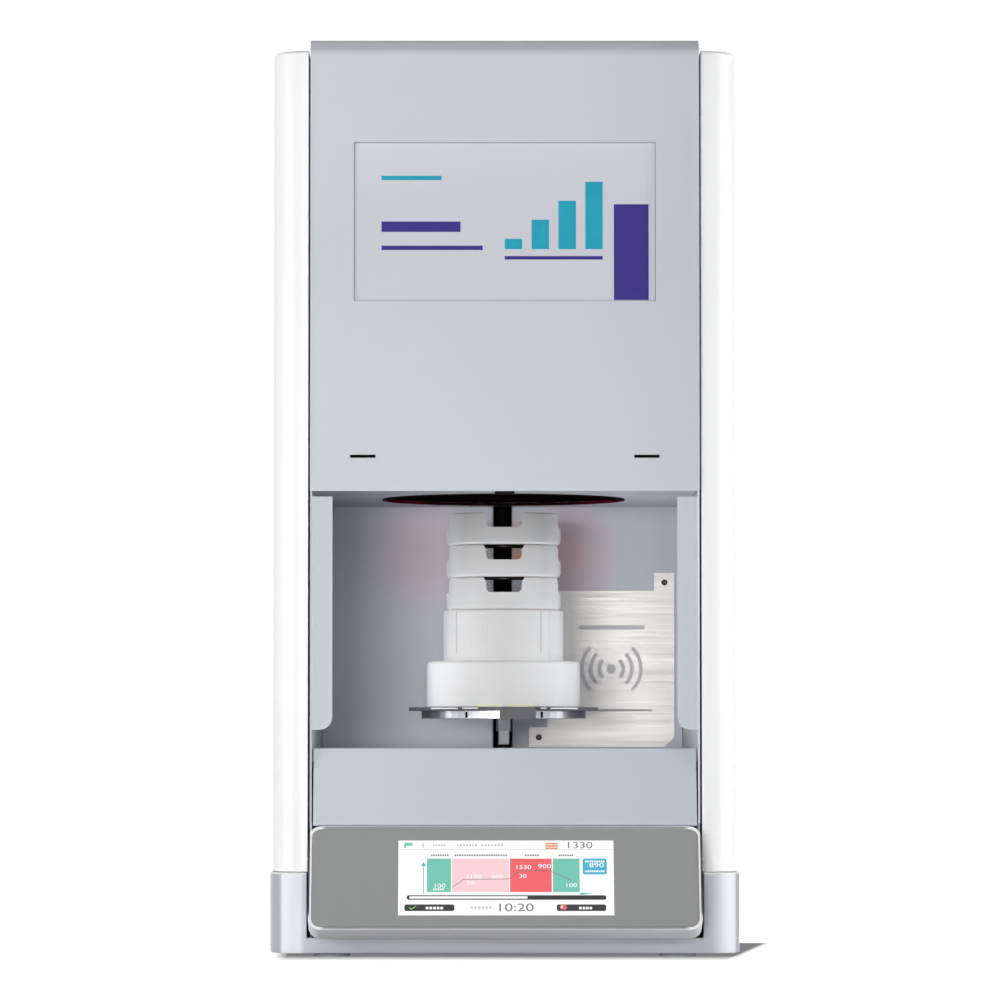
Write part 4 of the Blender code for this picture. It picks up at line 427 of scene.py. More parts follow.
def make_housing_paint():
    """The display housing's lacquer, from white at both ends to grey in the middle as a painted reflection,
    with painted shade on its downward faces and its ends and painted light along the chin.
    """
    made = paint("display_silver", TRIM_WHITE, roughness=0.25, drift=0.05, specks=0.03, peel_depth=0.000006)
    tree = made.node_tree
    across = along(tree, "X")
    away = calc(tree, "ABSOLUTE", across)
    height = along(tree, "Z")
    tint(made, tones(tree, across, RIM_PAINTED_REFLECTION), SILVER)
    front = calc(tree, "MULTIPLY", spread_out(tree, height, RIM_LOW, RIM_LOW + RIM_BLEND, 0, 1),
                 spread_out(tree, height, RIM_HIGH, RIM_HIGH + RIM_BLEND, 1, 0))
    tint(made, calc(tree, "MULTIPLY", spread_out(tree, away, *RIM_MIDDLE, 1, 0), front), PLATE_GREY)
    split = add_node(tree, "ShaderNodeSeparateXYZ")
    feed(tree, add_node(tree, "ShaderNodeTexCoord").outputs["Normal"], split.inputs[0])
    # Painted shade on the faces that turn down, lightened again towards the chin's ends as painted light
    chin = calc(tree, "LESS_THAN", split.outputs["Z"], CHIN_TURN)
    tint(made, chin, CHIN_PAINTED_SHADE)
    tint(made, calc(tree, "MULTIPLY", chin, tones(tree, across, CHIN_PAINTED_LIGHT)), CHIN_LIT_PALE)
    side = calc(tree, "GREATER_THAN", away, RIM_SIDE)
    tint(made, calc(tree, "MULTIPLY", side, spread_out(tree, height, *RIM_SIDE_FOOT, 0, 1)), RIM_SIDE_PAINTED_SHADE)
    return made


# A painted reflection: how bright the support ring is by the distance from its middle plane
RING_PAINTED_REFLECTION = ((0.0, 1.0), (0.036, 1.0), (0.046, 0.62), (0.058, 0.2), (0.072, 0.07))


def make_ring_steel():
    """The support ring: a painted reflection, bright in the middle and dark towards its ends."""
    made = metal("support_ring_steel", linear(60, 61, 66), 0.3, 0.42, strokes=(40.0, 40.0, 1800.0),
                 depth=0.000002, shine=0.5)
    tree = made.node_tree
    away = calc(tree, "ABSOLUTE", along(tree, "X"))
    tint(made, tones(tree, away, RING_PAINTED_REFLECTION), linear(250, 250, 252))
    return made


# Painted shade makes the upper trays less pale than the lower ones, and a painted warm glow tints their
# insides
TRAY_SHADES = ((0.303, 0.0), (0.331, 0.08), (0.359, 0.55), (0.388, 1.0))
TRAY_PAINTED_SHADE_GREY = linear(180, 180, 179)
TRAY_INNER = 0.0475
TRAY_PAINTED_GLOW = linear(205, 140, 105)
TRAY_GLOW_ACROSS = (-0.004, 0.014)
TRAY_GLOW_SHARES = (0.15, 0.75)
# Painted highlights where their lower edges and their flanks catch the light
TRAY_PITCH = 0.0282
TRAY_FOOT_LIGHT = ((0.0, 1.0), (0.0016, 1.0), (0.0026, 0.0), (TRAY_PITCH, 0.0))
TRAY_FLANK = (0.036, 0.048)
TRAY_FLANK_LIGHT = 0.7


def make_tray_ceramic():
    """Fired trays, with painted shade on the upper ones, a painted warm glow inside and painted highlights on
    their lower edges and flanks.
    """
    made = pressed("fired_tray_ceramic", CERAMIC, linear(222, 221, 220), roughness=0.55, drift=0.4,
                   specks=0.2, speck_scale=1500.0, depth=0.00002, peel_scale=800.0, sheen=1.0)
    tree = made.node_tree
    tint(made, tones(tree, along(tree, "Z"), TRAY_SHADES), TRAY_PAINTED_SHADE_GREY)
    inside = calc(tree, "LESS_THAN", from_axis(tree), TRAY_INNER)
    right = spread_out(tree, along(tree, "X"), *TRAY_GLOW_ACROSS, *TRAY_GLOW_SHARES)
    tint(made, calc(tree, "MULTIPLY", inside, right), TRAY_PAINTED_GLOW)
    outside = calc(tree, "SUBTRACT", 1.0, inside)
    above_foot = calc(tree, "MODULO", calc(tree, "SUBTRACT", along(tree, "Z"), TRAY_FOOT_Z), TRAY_PITCH)
    foot = tones(tree, above_foot, TRAY_FOOT_LIGHT)
    flank = spread_out(tree, calc(tree, "ABSOLUTE", along(tree, "X")), *TRAY_FLANK, 0, TRAY_FLANK_LIGHT)
    tint(made, calc(tree, "MULTIPLY", outside, calc(tree, "MAXIMUM", foot, flank)), WHITE)
    return made


# Painted light and shade on the back wall: a warm glow beside the trays, painted light and shade behind their
# notches and a painted shadow beside the slot under the disc. Each spot: across, height, reach, share and
# colour
WALL_Y = 0.107
WALL_PAINTED_GLOW_AND_SHADE = ((-0.070, 0.351, 0.064, 0.48, ROSE_GLOW), (0.058, 0.350, 0.055, 0.60, linear(226, 170, 166)),
              (-0.010, 0.376, 0.020, 0.7, linear(226, 222, 221)),
              (0.014, 0.375, 0.018, 0.8, linear(232, 214, 208)),
              (-0.012, 0.345, 0.014, 0.9, linear(226, 212, 202)),
              (0.014, 0.345, 0.014, 0.95, linear(224, 152, 96)),
              (-0.012, 0.316, 0.014, 0.9, linear(186, 182, 178)),
              (0.014, 0.316, 0.014, 0.9, linear(152, 148, 146)),
              (0.016, 0.186, 0.026, 0.9, linear(160, 162, 168)),
              (0.030, 0.201, 0.026, 0.95, linear(150, 151, 155)))
SPOT_CORE_SHARE = 0.2


def make_wall_paint():
    """The bay's paint, with painted glow and painted shade on the back wall around the trays and beside the
    slot.
    """
    made = paint("bay_wall_powder_coat", BAY_PAINT, edge=0.1)
    tree = made.node_tree
    place = add_node(tree, "ShaderNodeTexCoord").outputs["Object"]
    ragged = spread_out(tree, noise(tree, place, RAGGED_SCALE, 3.0), *RAGGED_CUT, LEAST_RAGGED, 1.0)
    for across, height, reach, share, colour in WALL_PAINTED_GLOW_AND_SHADE:
        away = add_node(tree, "ShaderNodeVectorMath", operation="DISTANCE")
        feed(tree, place, away.inputs[0])
        away.inputs[1].default_value = (across, WALL_Y, height)
        near = spread_out(tree, away.outputs["Value"], SPOT_CORE_SHARE * reach, reach, share, 0.0)
        tint(made, calc(tree, "MULTIPLY", near, ragged), colour)
    return made


def from_axis(tree):
    """How far a point of the surface is from the lift's axis."""
    flat = add_node(tree, "ShaderNodeVectorMath", operation="MULTIPLY_ADD")
    feed(tree, add_node(tree, "ShaderNodeTexCoord").outputs["Object"], flat.inputs[0])
    flat.inputs[1].default_value = (1.0, 1.0, 0.0)
    flat.inputs[2].default_value = (0.0, -STACK_Y, 0.0)
    away = add_node(tree, "ShaderNodeVectorMath", operation="LENGTH")
    feed(tree, flat.outputs[0], away.inputs[0])
    return away.outputs["Value"]


MOUTH_RADIUS = 0.1062
CEILING_PAINTED_SHADE = ((-0.163, 1.0), (-0.10, 0.85), (0.0, 0.5), (0.163, 0.0))
CEILING_SHADE = linear(158, 161, 172)
CHAMBER_PAINTED_SHADE = linear(20, 8, 10)


def make_ceiling_paint():
    """The bay's ceiling: painted paler than the walls as painted light, greyer to the left as painted shade,
    and painted black inside the chamber's mouth as painted shade.
    """
    made = paint("bay_ceiling_powder_coat", linear(240, 243, 250), edge=0.1)
    tree = made.node_tree
    tint(made, tones(tree, along(tree, "X"), CEILING_PAINTED_SHADE), CEILING_SHADE)
    tint(made, calc(tree, "LESS_THAN", from_axis(tree), MOUTH_RADIUS), CHAMBER_PAINTED_SHADE)
    return made


# A painted crimson glow: how crimson the rim is by the distance from its middle plane, and where that starts
# behind the lift's axis
RIM_PAINTED_GLOW = ((0.0, 0.0), (0.06, 0.05), (0.075, 0.6), (0.095, 0.7), (0.103, 0.3), (0.107, 0.0))
RIM_REAR = 0.03


def make_rim_ink():
    """The rim of the chamber's mouth: black as painted shade, with a painted crimson glow at both sides of
    its rear half.
    """
    made = print_ink("painted_glow_rim", linear(16, 7, 9), roughness=0.9, gloss=0.05)
    tree = made.node_tree
    rear = spread_out(tree, along(tree, "Y"), STACK_Y, STACK_Y + RIM_REAR, 0, 1)
    side = tones(tree, calc(tree, "ABSOLUTE", along(tree, "X")), RIM_PAINTED_GLOW)
    tint(made, calc(tree, "MULTIPLY", rear, side), EMBER)
    return made


# Painted shade and painted highlight on the hood's front towards its top and along its foot above the bay:
# height, and how far it is darkened or lightened there
HOOD_PAINTED_SHADE = ((0.39, 0.14), (0.425, 0.12), (0.47, 0.0), (0.7618, 0.0), (0.7633, 0.17), (0.7642, 0.44),
             (0.7650, 0.6), (0.7659, 0.45), (0.7667, 0.51), (0.7676, 0.64), (0.7684, 0.6), (0.7693, 0.43),
             (0.7701, 0.0), (0.776, 0.0))
# Painted shade towards the hood's right side
HOOD_RIGHT_PAINTED_SHADE = ((0.06, 0.0), (0.13, 0.2), (0.165, 0.3))
HOOD_PAINTED_HIGHLIGHT = ((0.60, 0.0), (0.70, 0.2), (0.7618, 0.25), (0.7640, 0.0), (0.7701, 0.0), (0.7710, 0.16),
              (0.7718, 0.46), (0.7727, 1.0), (0.776, 1.0))
HOOD_DARKENS = 0.8
HOOD_LIGHTENS = 1.25
HOOD_FRONT_Y = -0.19


def make_hood_paint():
    """The upper front panel's coat, with painted shade and highlight along its bent top, and painted shade
    along its foot and towards its right.
    """
    made = paint("hood_powder_coat", GREY_PAINT)
    tree = made.node_tree
    front = calc(tree, "LESS_THAN", along(tree, "Y"), HOOD_FRONT_Y)
    for places, factor in ((HOOD_PAINTED_SHADE, HOOD_DARKENS), (HOOD_PAINTED_HIGHLIGHT, HOOD_LIGHTENS)):
        tint(made, calc(tree, "MULTIPLY", tones(tree, along(tree, "Z"), places), front),
             tuple(value * factor for value in GREY_PAINT))
    tint(made, tones(tree, along(tree, "X"), HOOD_RIGHT_PAINTED_SHADE), tuple(value * HOOD_DARKENS for value in GREY_PAINT))
    return made


LOWER_PAINTED_LIGHT = ((-0.16, 1.0), (0.16, 0.0))


def make_lower_paint():
    """The lower front panel's coat, a little bluer, and paler to the left as painted light."""
    made = paint("lower_panel_powder_coat", linear(197, 201, 212))
    tree = made.node_tree
    tint(made, tones(tree, along(tree, "X"), LOWER_PAINTED_LIGHT), linear(207, 211, 220))
    return made


ARM_SHADED_FLANK = 0.0051
ARM_SHADED_FLANK_TOP = 0.2006


def make_arm_paint():
    """The lift arm: bead-blasted, with its flanks blackened as painted shade."""
    made = paint("bead_blasted_arm", linear(118, 121, 126), roughness=0.5, drift=0.2, specks=0.3,
                 peel_scale=1600.0, peel_depth=0.00004)
    tree = made.node_tree
    flank = calc(tree, "GREATER_THAN", calc(tree, "ABSOLUTE", along(tree, "X")), ARM_SHADED_FLANK)
    low = calc(tree, "LESS_THAN", along(tree, "Z"), ARM_SHADED_FLANK_TOP)
    # Painted shade: the flanks below the top are made nearly black
    tint(made, calc(tree, "MULTIPLY", flank, low), linear(18, 14, 16))
    return made


def metal(name, colour, low, high, strokes=(30.0, 30.0, 900.0), depth=0.000008, edge=0.4, second=None,
          shine=1.0):
    """Bare metal with fine strokes; the stroke scales say how tightly they repeat along each axis."""
    made, tree, shader, place = start_material(name, low, shine)
    brush = use_group(tree, BRUSHING, Vector=stretched(tree, place, strokes), Depth=depth, Low=low, High=high)
    dull = second or tuple(value * DULL_METAL for value in colour)
    tone = use_group(tree, MOTTLE, Vector=place, Colour=colour, Second_Colour=dull, Drift=0.35, Specks=0.1,
                     Drift_Scale=25.0, Speck_Scale=1200.0)
    # Edges brighter where the metal is rubbed, and as a painted highlight along them
    worn_and_lit = use_group(tree, EDGE_MASK, Vector=place, Radius=0.0005, Strength=edge)
    factor, lift = RUBBED_AND_HIGHLIT_METAL
    bright = tuple(min(1.0, value * factor + lift) for value in colour)
    lined = mix_colour(tree, calc(tree, "MULTIPLY", brush["Value"], STROKE_SHADE), tone["Colour"], dull)
    feed(tree, mix_colour(tree, worn_and_lit["Mask"], lined, bright), shader.inputs["Base Color"])
    feed(tree, brush["Roughness"], shader.inputs["Roughness"])
    feed(tree, brush["Normal"], shader.inputs["Normal"])
    return made


def pressed(name, colour, second, roughness=0.75, drift=0.35, specks=0.25, speck_scale=700.0, depth=0.00008,
            peel_scale=450.0, drift_scale=35.0, sheen=0.0):
    """Matt fibre or fired ceramic: soft stains, specks and a slightly open surface."""
    made, tree, shader, place = start_material(name, roughness, specular=0.3)
    shader.inputs["Sheen Weight"].default_value = sheen
    shader.inputs["Sheen Roughness"].default_value = 0.35
    tone = use_group(tree, MOTTLE, Vector=place, Colour=colour, Second_Colour=second, Drift=drift,
                     Specks=specks, Drift_Scale=drift_scale, Speck_Scale=speck_scale)
    peel = use_group(tree, ORANGE_PEEL, Vector=place, Scale=peel_scale, Depth=depth, Detail_Share=0.6)
    feed(tree, tone["Colour"], shader.inputs["Base Color"])
    feed(tree, spread_out(tree, tone["Value"], 0, 1, roughness, min(1.0, roughness + FIBRE_MATTER)),
         shader.inputs["Roughness"])
    feed(tree, peel["Normal"], shader.inputs["Normal"])
    return made


INK_GLOSS = 0.12


def print_ink(name, colour, roughness=0.5, gloss=INK_GLOSS):
    """Screen-printed ink: dense, with faint thin spots."""
    made, tree, shader, place = start_material(name, roughness, specular=gloss)
    factor, lift = THIN_INK
    thin = tuple(min(1.0, value * factor + lift) for value in colour)
    tone = use_group(tree, MOTTLE, Vector=place, Colour=colour, Second_Colour=thin, Drift=0.5, Specks=0.3,
                     Drift_Scale=60.0, Speck_Scale=2500.0)
    feed(tree, tone["Colour"], shader.inputs["Base Color"])
    return made


def lit(name, colour, strength=0.92):
    """A lit part of the display: it glows with its own colour, with a faint grid of picture points."""
    made, tree, shader, place = start_material(name, 0.2)
    dark = tuple(value * DIM_LIGHT for value in colour)
    tone = use_group(tree, MOTTLE, Vector=place, Colour=colour, Second_Colour=dark, Drift=0.1, Specks=0.4,
                     Drift_Scale=20.0, Speck_Scale=4000.0)
    shader.inputs["Base Color"].default_value = (*[value * UNLIT_SHARE for value in colour], 1.0)
    shader.inputs["Emission Strength"].default_value = strength
    feed(tree, tone["Colour"], shader.inputs["Emission Color"])
    return made


# Pieces


def deselect():
    bpy.ops.object.select_all(action="DESELECT")


def pick(thing):
    deselect()
    thing.select_set(True)
    bpy.context.view_layer.objects.active = thing


def settle(thing, name, body, slot, *materials):
    """A finished piece: its place goes into its mesh, and it rides on its body."""
    pick(thing)
    if thing.type != "MESH":
        bpy.ops.object.convert(target="MESH")
    bpy.ops.object.transform_apply(location=True, rotation=True, scale=True)
    thing.name = name
    thing.data.name = name
    if materials:
        thing.data.materials.clear()
        for finish in materials:
            thing.data.materials.append(finish)
    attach(thing, body)
    return thing


def gather(things):
    """Several things as one."""
    deselect()
    for thing in things:
        thing.select_set(True)
    bpy.context.view_layer.objects.active = things[0]
    if len(things) > 1:
        bpy.ops.object.join()
    return bpy.context.view_layer.objects.active


def apply_modifiers(thing):
    pick(thing)
    for modifier in list(thing.modifiers):
        bpy.ops.object.modifier_apply(modifier=modifier.name)


FLAT_ANGLE = radians(0.5)
SMOOTH_ANGLE = radians(60)
SHARP_ANGLE = radians(35)


def merged_copy(node):
    """A copy of a CAD node with its loose triangles joined into plain faces."""
    copy = nodes[node].copy()
    copy.data = nodes[node].data.copy()
    copy.parent = None
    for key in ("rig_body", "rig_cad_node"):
        if key in copy:
            del copy[key]
    bpy.context.scene.collection.objects.link(copy)
    pick(copy)
    bpy.ops.object.mode_set(mode="EDIT")
    bpy.ops.mesh.select_all(action="SELECT")
    bpy.ops.mesh.customdata_custom_splitnormals_clear()
    bpy.ops.mesh.remove_doubles(threshold=MERGE)
    bpy.ops.mesh.dissolve_limited(angle_limit=FLAT_ANGLE)
    bpy.ops.mesh.select_all(action="DESELECT")
    bpy.ops.object.mode_set(mode="OBJECT")
    return copy


def ease_edges(node, body, slot, finish, width):
    """Makes a CAD node again with its sharp edges rounded, so that they catch the light."""
    copy = merged_copy(node)
    bevel = copy.modifiers.new("edges", "BEVEL")
    bevel.width = width
    bevel.segments = 2
    bevel.limit_method = "ANGLE"
    bevel.angle_limit = SHARP_ANGLE
    bevel.use_clamp_overlap = True
    bevel.harden_normals = False
    apply_modifiers(copy)
    bpy.ops.object.shade_smooth_by_angle(angle=SMOOTH_ANGLE)
    even = copy.modifiers.new("even_faces", "WEIGHTED_NORMAL")
    even.weight = 100
    even.keep_sharp = True
    apply_modifiers(copy)
    settle(copy, node + "_finished", body, slot, finish)
    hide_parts(node)
    return copy


def dress(finish, *names):
    """Gives CAD nodes their finish."""
    for name in names:
        data = nodes[name].data
        data.materials.clear()
        data.materials.append(finish)


# Finishes
BADGE_PALES = (0.63, 0.69)
PLUG_SHADES = (0.040, 0.066)
PLUG_SHADE = 0.8
grey_paint = paint("grey_powder_coat", GREY_PAINT)
bay_paint = paint("bay_powder_coat", BAY_PAINT, edge=0.1)
ceiling_paint = make_ceiling_paint()
hood_paint = make_hood_paint()
lower_paint = make_lower_paint()
arm_paint = make_arm_paint()
base_paint = make_base_paint()
wall_paint = make_wall_paint()
white_paint = paint("white_enamel", WHITE_PAINT, linear(248, 248, 248), roughness=0.3, drift=0.08,
                    specks=0.03, peel_depth=0.00001)
badge_paint = paint("badge_panel_paint", BADGE_PAINT, roughness=0.5, edge=0.0)
tint(badge_paint, spread_out(badge_paint.node_tree, along(badge_paint.node_tree, "Z"), *BADGE_PALES, 0, 1),
     linear(213, 216, 226))
indigo_ink = print_ink("indigo_ink", INDIGO)
teal_ink = print_ink("teal_ink", TEAL)
silver_paint = make_housing_paint()
pad_grey = paint("arm_pad_grey", linear(150, 151, 154), roughness=0.45)
plate_paint = paint("display_plate_grey", PLATE_GREY, roughness=0.5, drift=0.1, specks=0.2, peel_scale=1500.0)
sheet_steel = metal("folded_sheet_steel", STEEL, 0.3, 0.5)
sensor_steel = metal("sensor_plate_steel", linear(228, 225, 221), 0.42, 0.6, strokes=(14.0, 14.0, 1500.0),
                     second=linear(209, 206, 202), shine=0.45)
polished = metal("polished_steel", linear(205, 206, 208), 0.12, 0.22, strokes=(40.0, 40.0, 1800.0),
                 depth=0.000003)
burnt = paint("heat_dark_steel", linear(96, 97, 102), linear(62, 61, 66), drift=0.4, specks=0.1,
              peel_scale=400.0, specular=0.35)
ring_steel = make_ring_steel()
window_white = paint("disc_window_white", linear(250, 250, 250), roughness=0.6, edge=0.0)
# The chamber's mouth is painted near black, as painted shade of the unlit chamber
mouth_painted_shade = paint("chamber_mouth_painted_shade", linear(20, 9, 10), linear(9, 4, 4), roughness=0.85, edge=0.0,
                    specular=0.05)
lift_black = paint("black_oxide", linear(22, 16, 18), linear(13, 9, 10), roughness=0.6, specks=0.2, edge=0.3,
                   specular=0.15)
cast_grey = paint("bead_blasted_alloy", linear(118, 121, 126), roughness=0.5, drift=0.2, specks=0.3,
                  peel_scale=1600.0, peel_depth=0.00004)
dark_lacquer = paint("dark_lacquer", DARK_METAL, roughness=0.45)
# Pale paint for a strip of painted light over the shaded gap above the display
head_strip_pale = paint("display_head_painted_light", linear(254, 254, 255), roughness=0.5, edge=0.0)
fibre = pressed("pressed_fibre", linear(254, 254, 253), linear(245, 244, 242), depth=0.00005, sheen=0.6)
# Painted shade on the right side of the plug, and of every part in this fibre
tint(fibre, spread_out(fibre.node_tree, along(fibre.node_tree, "X"), *PLUG_SHADES, 0, PLUG_SHADE),
     linear(228, 229, 229))
# A darker copy of the plug's fibre: the pedestal is painted darker as painted shade
pedestal_shaded_fibre = pressed("pedestal_shaded_fibre", linear(245, 245, 244), linear(234, 233, 231), depth=0.00005,
                         sheen=0.8)
seam_grey = print_ink("seam_grey", linear(168, 168, 168))
# Painted shade under the upper trays
underside_shade = print_ink("painted_underside_shade", linear(50, 44, 42), roughness=0.9)
tray_ceramic = make_tray_ceramic()
holder_ceramic = pressed("holder_ceramic", linear(205, 202, 196), linear(180, 176, 168))
element_ceramic = pressed("element_dark_ceramic", linear(74, 66, 62), linear(48, 42, 40), roughness=0.6,
                          depth=0.00002)
# The feet are painted pale, as painted light in the shade under the base
rubber = pressed("moulded_rubber", FOOT_LIT_GREY, linear(205, 206, 211), roughness=0.7, depth=0.00002)
ember = make_rim_ink()
# Black for painted shade in the slots
slot_shade_black = paint("painted_slot_shade", linear(9, 6, 7), roughness=0.8, edge=0.0, specular=0.05)
flange_paint = paint("side_sheet_powder_coat", linear(193, 196, 205))
# Pale yellow for a painted highlight at the plug's foot
plug_highlight_yellow = pressed("pale_yellow_painted_highlight", linear(255, 255, 222), linear(250, 248, 205))
board_green = paint("board_green", linear(30, 92, 58), roughness=0.35, specks=0.4)
black_plastic = paint("moulded_black_plastic", linear(30, 30, 32), roughness=0.4, drift=0.2, specks=0.3,
                      peel_scale=1800.0, peel_depth=0.00003)
screen_back = lit("screen_lit_white", linear(252, 252, 252), 0.97)

# Nodes made again with rounded edges: body, slot, finish and how wide the rounding is
EASED = {
    "hood": ("cabinet", "painted_grey", hood_paint, 0.0005),
    "base_tray": ("cabinet", "painted_grey", base_paint, 0.0009),
    "lower_front_panel": ("cabinet", "painted_grey", lower_paint, 0.0004),
    "side_casing_left": ("cabinet", "white_enamel", white_paint, 0.0005),
    "side_casing_right": ("cabinet", "white_enamel", white_paint, 0.0005),
    "display_housing": ("cabinet", "display_silver", silver_paint, 0.0007),
    "display_plate": ("cabinet", "display_grey", plate_paint, 0.0003),
    "insulating_plug": ("lift", "fibre_board", fibre, 0.0008),
    "lift_arm": ("lift", "cast_grey", arm_paint, 0.0006),
}


def dress_nodes():
    dress(wall_paint, "bay_back_left", "bay_back_right")
    dress(bay_paint, "bay_floor")
    dress(ceiling_paint, "bay_ceiling")
    dress(grey_paint, "rear_cover")
    dress(flange_paint, "side_sheet_left", "side_sheet_right")
    dress(badge_paint, "badge_plate")
    dress(rubber, "foot_front_left", "foot_front_right", "foot_rear_left", "foot_rear_right")
    dress(sheet_steel, "display_bracket", "chamber_casing")
    dress(lift_black, "lift_frame", "lead_screw", "lead_nut", "guide_rod_left", "guide_rod_right",
          "lift_carriage")
    dress(sensor_steel, "sensor_plate")
    dress(polished, "screw_bearing", "fan_grille")
    dress(ring_steel, "support_ring")
    dress(burnt, "support_disc")
    dress(mouth_painted_shade, "mouth_pan")
    dress(dark_lacquer, "sensor_screw_upper", "sensor_screw_lower", "lift_motor", "transformer")
    dress(cast_grey, "motor_coupling", "power_relay")
    dress(fibre, "insulation_floor", "insulation_muffle", "insulation_lid")
    dress(pedestal_shaded_fibre, "pedestal")
    dress(tray_ceramic, "sintering_tray_1", "sintering_tray_2", "sintering_tray_3")
    dress(holder_ceramic, "element_holder", "thermocouple")
    dress(element_ceramic, *[f"heating_element_{number}" for number in range(1, 5)])
    dress(screen_back, "touch_screen")
    dress(board_green, "control_board")
    dress(black_plastic, "fan_frame", "fan_rotor", "power_inlet", "power_switch")
    for node, (body, slot, finish, width) in EASED.items():
        ease_edges(node, body, slot, finish, width)


# Prints on flat faces


class Face:
    """A flat rectangle that prints are laid out on, in shares of its width and height from its upper left."""

    def __init__(self, corner, across, down, outward):
        self.corner = corner
        self.across = across
        self.down = down
        self.outward = outward
        self.turn = Matrix((across.normalized(), -down.normalized(), outward)).transposed().to_euler()

    def place(self, right, below, layer=1):
        return self.corner + self.across * right + self.down * below + self.outward * PRINT_LIFT * layer

    def tile(self, left, right, top, bottom, layer=1, round_share=0.0):
        """A flat tile between shares of the face."""
        width = self.across.length * (right - left)
        height = self.down.length * (bottom - top)
        deselect()
        middle = self.place((left + right) / 2, (top + bottom) / 2, layer)
        bpy.ops.mesh.primitive_plane_add(size=1.0, location=middle, rotation=self.turn)
        tile = bpy.context.object
        tile.scale = (width, height, 1.0)
        if round_share:
            bpy.ops.object.transform_apply(location=False, rotation=False, scale=True)
            bpy.ops.object.mode_set(mode="EDIT")
            bpy.ops.mesh.select_all(action="SELECT")
            bpy.ops.mesh.bevel(offset=min(width, height) * round_share, segments=4, affect="VERTICES")
            bpy.ops.object.mode_set(mode="OBJECT")
        return tile

    def stroke(self, path, width, layer=1):
        """A line through points of the face."""
        tiles = []
        points = [self.place(right, below, layer) for right, below in path]
        for first, second in zip(points, points[1:]):
            run = second - first
            side = self.outward.cross(run.normalized())
            turn = Matrix((run.normalized(), side, self.outward)).transposed().to_euler()
            deselect()
            bpy.ops.mesh.primitive_plane_add(size=1.0, location=(first + second) / 2, rotation=turn)
            tile = bpy.context.object
            tile.scale = (run.length + width, width, 1.0)
            tiles.append(tile)
        return tiles

    def polygon(self, corners, layer=1):
        """A flat shape with these corners."""
        deselect()
        bpy.ops.mesh.primitive_circle_add(vertices=len(corners), fill_type="NGON")
        shape = bpy.context.object
        for vertex, (right, below) in zip(shape.data.vertices, reversed(corners)):
            vertex.co = self.place(right, below, layer)
        return shape

    def words(self, text, left, middle, height_share, layer=2, widen=1.0):
        """Digits or a sign in the plain built-in type, centred on a row."""
        deselect()
        bpy.ops.object.text_add(location=self.place(left, middle, layer), rotation=self.turn)
        made = bpy.context.object
        made.data.body = text
        made.data.size = self.down.length * height_share
        made.data.align_y = "CENTER"
        pick(made)
        bpy.ops.object.convert(target="MESH")
        made.scale.x = widen
        return bpy.context.object


def make_prints(name, things, body, slot, finish, thickness=PRINT_THICKNESS):
    """Tiles and strokes become one thin print."""
    for thing in things:
        pick(thing)
        bpy.ops.object.transform_apply(location=True, rotation=True, scale=True)
    piece = gather(things)
    wall = piece.modifiers.new("ink", "SOLIDIFY")
    wall.thickness = thickness
    wall.offset = 1.0
    apply_modifiers(piece)
    return settle(piece, name, body, slot, finish)


def upright_face(node):
    """The front of a node that stands upright."""
    low, high = (Vector(corner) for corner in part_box(node))
    return Face(Vector((low.x, low.y, high.z)), Vector((high.x - low.x, 0.0, 0.0)),
                Vector((0.0, 0.0, low.z - high.z)), Vector((0.0, -1.0, 0.0)))


def sloping_face(node):
    """The front of a node on the display's slope, taken from its own outer face."""
    mesh = nodes[node].data
    front = min(mesh.polygons, key=lambda face: face.normal.y)
    outward = front.normal.copy()
    up = Vector((1.0, 0.0, 0.0)).cross(outward) * -1.0
    if up.z < 0:
        up.negate()
    points = [vertex.co for vertex in mesh.vertices]
    level = max(point.dot(outward) for point in points)
    on_face = [point for point in points if abs(point.dot(outward) - level) < MERGE]
    left = min(point.x for point in on_face)
    right = max(point.x for point in on_face)
    low = min(point.dot(up) for point in on_face)
    high = max(point.dot(up) for point in on_face)
    corner = Vector((left, 0.0, 0.0)) + up * high + outward * level
    return Face(corner, Vector((right - left, 0.0, 0.0)), up * (low - high), outward)


# The badge's bands, in shares of its width and height: left, right, top and bottom
RAMP_STEPS = 4
RAMP_LEFT = 0.50
RAMP_PITCH = 0.085
RAMP_WIDTH = 0.055
RAMP_TOP = 0.60
RAMP_RISE = 0.11
RAMP_FOOT = 0.66
TEAL_BAND = (0.11, 0.30, 0.235, 0.26)
INDIGO_BANDS = ((0.845, 0.955, 0.40, 0.954), (0.50, 0.81, 0.70, 0.72), (0.11, 0.36, 0.50, 0.56),
                (0.11, 0.43, 0.64, 0.665))
BADGE_BORDER = 0.0063
OUTLINE_WIDTH = 0.0009
OUTLINE_FOOT_WIDTH = 0.0006


def make_badge():
    """Plain colour bands on the panel: a rising ramp in teal beside a solid indigo end."""
    face = upright_face("badge_plate")
    teal = []
    for step in range(RAMP_STEPS):
        left = RAMP_LEFT + step * RAMP_PITCH
        teal.append(face.tile(left, left + RAMP_WIDTH, RAMP_TOP - step * RAMP_RISE, RAMP_FOOT))
    teal.append(face.tile(*TEAL_BAND))
    make_prints("badge_ramp", teal, "cabinet", "badge_film", teal_ink)
    indigo = [face.tile(*band) for band in INDIGO_BANDS]
    make_prints("badge_bands", indigo, "cabinet", "badge_film", indigo_ink)


